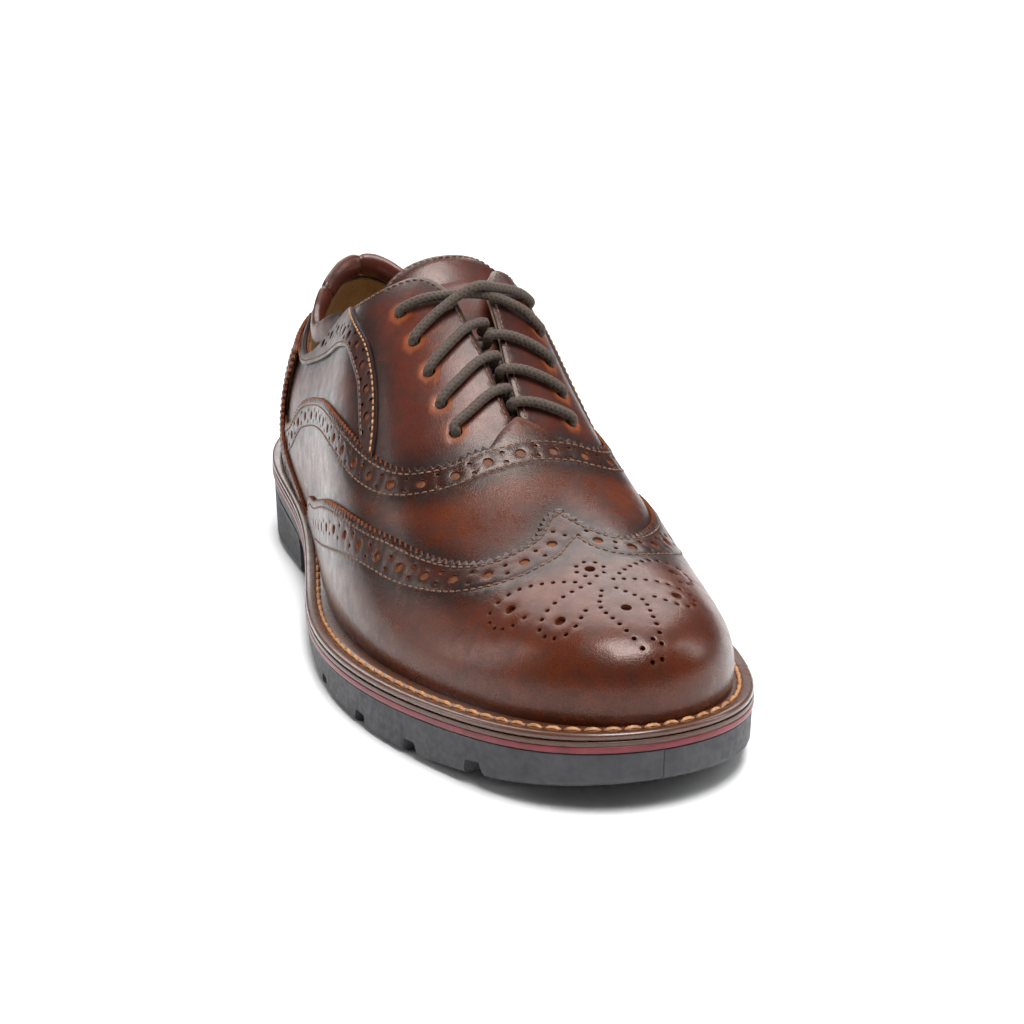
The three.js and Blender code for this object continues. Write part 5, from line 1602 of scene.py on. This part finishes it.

# %% [markdown]
# ### Collar roll
# A soft padded roll sits on the edge of the heel. It is drawn in by three lines of stitching, so it swells
# between them. Its section is a plump oval that thins out where it tucks under the band at each end. Its
# paint is darkened where it is drawn in and where it thins: painted shade in the gathers and under the band.

# %% Collar roll
ROLL_CENTRE = [(120, 0.525), (123, 0.49), (126.5, 0.46), (131.6, 0.435), (140, 0.47), (150, 0.55), (165, 0.635),
               (180, 0.655)]
ROLL_THICK, ROLL_TALL, ROLL_RAISE = 2.3, 4.2, 0.7
ROLL_SIDES = 36
GATHERS = (0.36, 0.5, 0.64)


roll_marks = np.array(ROLL_CENTRE + [(360 - station, height) for station, height in ROLL_CENTRE[-2::-1]])
roll_path = smooth_path(on_last(roll_marks[:, 0], roll_marks[:, 1], -1.0), 0.6)
share = np.linspace(0, 1, len(roll_path))
roll_length = 0.6 * (len(roll_path) - 1)
swell = 0.4 + 0.6 * smooth_step(np.minimum(share, 1 - share), 0, 0.09) ** 0.6
for gather in GATHERS:
    swell *= 1 - 0.15 * np.exp(-((share - gather) * roll_length / 1.0) ** 2)
    swell *= 1 + 0.04 * np.exp(-((np.abs(share - gather) * roll_length - 4) / 2.5) ** 2)
swell *= 1 + 0.015 * np.sin(share * 60) + 0.01 * np.sin(share * 143 + 1)
tangent, _, _ = path_frames(roll_path)
up = np.array([0, 0, 1.0]) - tangent * tangent[:, 2:3]
up /= np.linalg.norm(up, axis=1)[:, None]
out = np.cross(tangent, up)
angle = 2 * np.pi * np.arange(ROLL_SIDES) / ROLL_SIDES
oval = (ROLL_THICK * np.cos(angle)[None, :, None] * out[:, None]
        + ROLL_TALL * np.sin(angle)[None, :, None] * up[:, None])
rings = roll_path[:, None] + ROLL_RAISE * up[:, None] + swell[:, None, None] * oval
points = np.vstack([rings.reshape(-1, 3), rings[:1].mean(axis=1), rings[-1:].mean(axis=1)])
faces = [f[::-1] for f in grid_faces(len(roll_path), ROLL_SIDES, wrap=True)]
first, last = len(points) - 2, len(points) - 1
base = (len(roll_path) - 1) * ROLL_SIDES
for j in range(ROLL_SIDES):
    k = (j + 1) % ROLL_SIDES
    faces += [(first, j, k), (last, base + k, base + j)]
# Painted shade: the roll is darker where the stitching draws it in, where it thins under the band and on its end
# caps.
roll_painted_shade = np.concatenate([np.repeat(np.clip((1 - swell) * 3, 0, 1), ROLL_SIDES), [1, 1]])
roll = mesh_object("collar_roll_padded", points, faces, [quarter_leather], burnish_and_shade=roll_painted_shade, smooth=60)
finish_piece(roll, ["collar_roll"])

# %% [markdown]
# ## Stitching
# Every seam is sewn with a lock stitch: short round thread ends that dive into the leather about every
# 2.4 mm. One stitch is a little arched capsule of a few dozen faces. All stitches of one colour on one layer
# are one mesh, laid along their seam curves.

# %% Thread
def stitch_shape(length, radius):
    """One stitch along x: rings of six points that arch up in the middle and sink at both ends."""
    places = [(-0.5, 0.25, -0.9), (-0.44, 0.75, -0.45), (-0.25, 1, 0.12), (0, 1.05, 0.3), (0.25, 1, 0.12),
              (0.44, 0.75, -0.45), (0.5, 0.25, -0.9)]
    angle = 2 * np.pi * np.arange(6) / 6
    points = np.vstack([np.stack([np.full(6, x * length), r * radius * np.cos(angle),
                                  r * radius * np.sin(angle) + z * radius], -1) for x, r, z in places])
    faces = [f[::-1] for f in grid_faces(len(places), 6, wrap=True)]
    last = 6 * (len(places) - 1)
    return points, faces + [tuple(range(6)), tuple(range(last + 5, last - 1, -1))]


def seated(shape, centres, tangents, sides, normals):
    """Copies of the points of a shape, each turned into its own frame."""
    return [c + shape[:, :1] * t + shape[:, 1:2] * s + shape[:, 2:] * n
            for c, t, s, n in zip(centres, tangents, sides, normals)]


def stitched(name, seams, material, pitch=2.4, length=2.0, radius=0.29, body="shoe"):
    """One mesh of stitches along (curve, layer height) seams."""
    shape, shape_faces = stitch_shape(length, radius)
    points = []
    for curve, level in seams:
        marks = walked(np.asarray(curve, float), pitch)
        middle = (marks[1:] + marks[:-1]) / 2
        if len(middle) < 3:
            continue
        _, tangent, side, normal = curve_frame(middle)
        height = level(middle) if callable(level) else np.full(len(middle), float(level))
        centre = on_last(middle[:, 0], middle[:, 1], height)
        points += seated(shape, centre, tangent, side, normal)
    faces = [tuple(i * len(shape) + k for k in f) for i in range(len(points)) for f in shape_faces]
    made = mesh_object(name, np.vstack(points), faces, [material], smooth=60)
    return finish_piece(made, body=body)


def thread(name, light, dark):
    made, shader = new_material(name, 0.6, Coat_Weight=0.15)
    noise_colour(made, shader, 600, 2, dark, light, 0.15)
    bump(made, shader, object_noise(made, 4000, 1), 0.05, 0.6)
    return made


brown_thread = thread("brown_thread", "7d5032", "573421")
tan_thread = thread("tan_thread", "b98350", "94603a")
welt_thread = thread("welt_thread", "c08a5a", "99653a")

# %% Seams
cap_seams, vamp_seams, quarter_seams, band_seams = [], [], [], []
for edge, row, side in zip(wing_edges + cover_edges, wing_rows + cover_rows, (1, -1) + COVER_SIDES):
    cap_seams += [(beside(edge, side * FIRST_ROW), OUTER_LAYER - SEAM_DIP / 2), (row, OUTER_LAYER - SEAM_DIP / 2)]
vamp_seams += [(row, VAMP_LAYER - SEAM_DIP / 2) for row in vamp_rows]
for side in (1, -1):
    facing = smooth_marks(turn_side(FACING_EDGE[1:], side))
    topline = smooth_marks(turn_side(FRONT_TOPLINE, side))
    quarter_seams += [(beside(facing, side * 1.5), 0.0), (beside(topline, side * 1.6), 0.0)]
    upper_edge = smooth_marks(turn_side(BAND_FRONT, side))
    lower_edge = smooth_marks(turn_side(BAND_BACK[:-2], side))
    band_seams += [(beside(upper_edge, side * 1.1), 1.05)]
    quarter_seams += [(beside(lower_edge, -side * 1.3), 1.1)]
stitched("stitches_cap_and_counter", cap_seams, brown_thread)
stitched("stitches_vamp", vamp_seams, brown_thread)
stitched("stitches_quarters", quarter_seams, brown_thread)
stitched("stitches_bands", band_seams, tan_thread, 2.4, 2.0, 0.33)
tongue_top = smooth_marks(TONGUE_TIP[1:] + mirrored(TONGUE_TIP[1:])[1:])
tongue_row = beside(tongue_top, -2.2)
stitched("stitches_tongue", [(tongue_row, tongue_level(0))], brown_thread, body="tongue")

# %% [markdown]
# ### Welt stitching
# The welt is sewn with heavier waxed thread, about 5 mm a stitch, that lies down in its groove all round.

# %% Welt stitches
WELT_PITCH = 5.6
phi = outline_stations(sole_edge, WELT_PITCH, GROOVE_INSET)
centre = inset_edge(sole_edge, phi, GROOVE_INSET)
ahead = inset_edge(sole_edge, phi + 0.4, GROOVE_INSET) - inset_edge(sole_edge, phi - 0.4, GROOVE_INSET)
slope = (welt_top(centre[:, 1] + 0.5) - welt_top(centre[:, 1] - 0.5))
tangent = np.concatenate([ahead, (ahead[:, 1] * slope)[:, None]], 1)
tangent /= np.linalg.norm(tangent, axis=1)[:, None]
normal = np.stack([np.zeros_like(slope), -slope, np.ones_like(slope)], -1)
normal -= tangent * (tangent * normal).sum(1)[:, None]
normal /= np.linalg.norm(normal, axis=1)[:, None]
sideways = np.cross(normal, tangent)
shape, shape_faces = stitch_shape(5.0, 0.62)
origins = np.concatenate([centre, (welt_top(centre[:, 1]) - 0.12)[:, None]], 1)
points = seated(shape, origins, tangent, sideways, normal)
faces = [tuple(i * len(shape) + k for k in f) for i in range(len(points)) for f in shape_faces]
welt_stitches = mesh_object("stitches_welt", np.vstack(points), faces, [welt_thread], smooth=60)
finish_piece(welt_stitches)

# %% [markdown]
# ## Hidden pieces
# The insole board, sock liner, cork, shank, nails, toe puff and heel counter can't be seen, or only deep in
# the shoe. They stay as the CAD made them and get their own paint.

# %% Paint the CAD pieces
cork_paint, shader = new_material("cork", 0.95)
noise_colour(cork_paint, shader, 400, 4, "7a5230", "b58a58")
steel_paint, shader = new_material("steel", 0.35, Metallic=1.0)
noise_colour(steel_paint, shader, 200, 2, "8a8c90", "b4b6ba")
board_paint, shader = new_material("fibre_board", 0.9)
noise_colour(board_paint, shader, 900, 3, "6f5233", "93714a")
HIDDEN = {"cork_filler": (cork_paint, "cork"), "shank": (steel_paint, "steel"),
          "insole_board": (board_paint, "fibre_board"), "sock_liner": (lining_suede, "lining_leather"),
          "toe_puff": (board_paint, "fibre_board"), "heel_counter": (board_paint, "fibre_board")}
HIDDEN.update({f"heel_nail_{i}": (steel_paint, "steel") for i in range(1, 5)})
for name, (paint, slot) in HIDDEN.items():
    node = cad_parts[name]
    node.data.materials.clear()
    node.data.materials.append(paint)
print(len(HIDDEN), "CAD pieces painted")
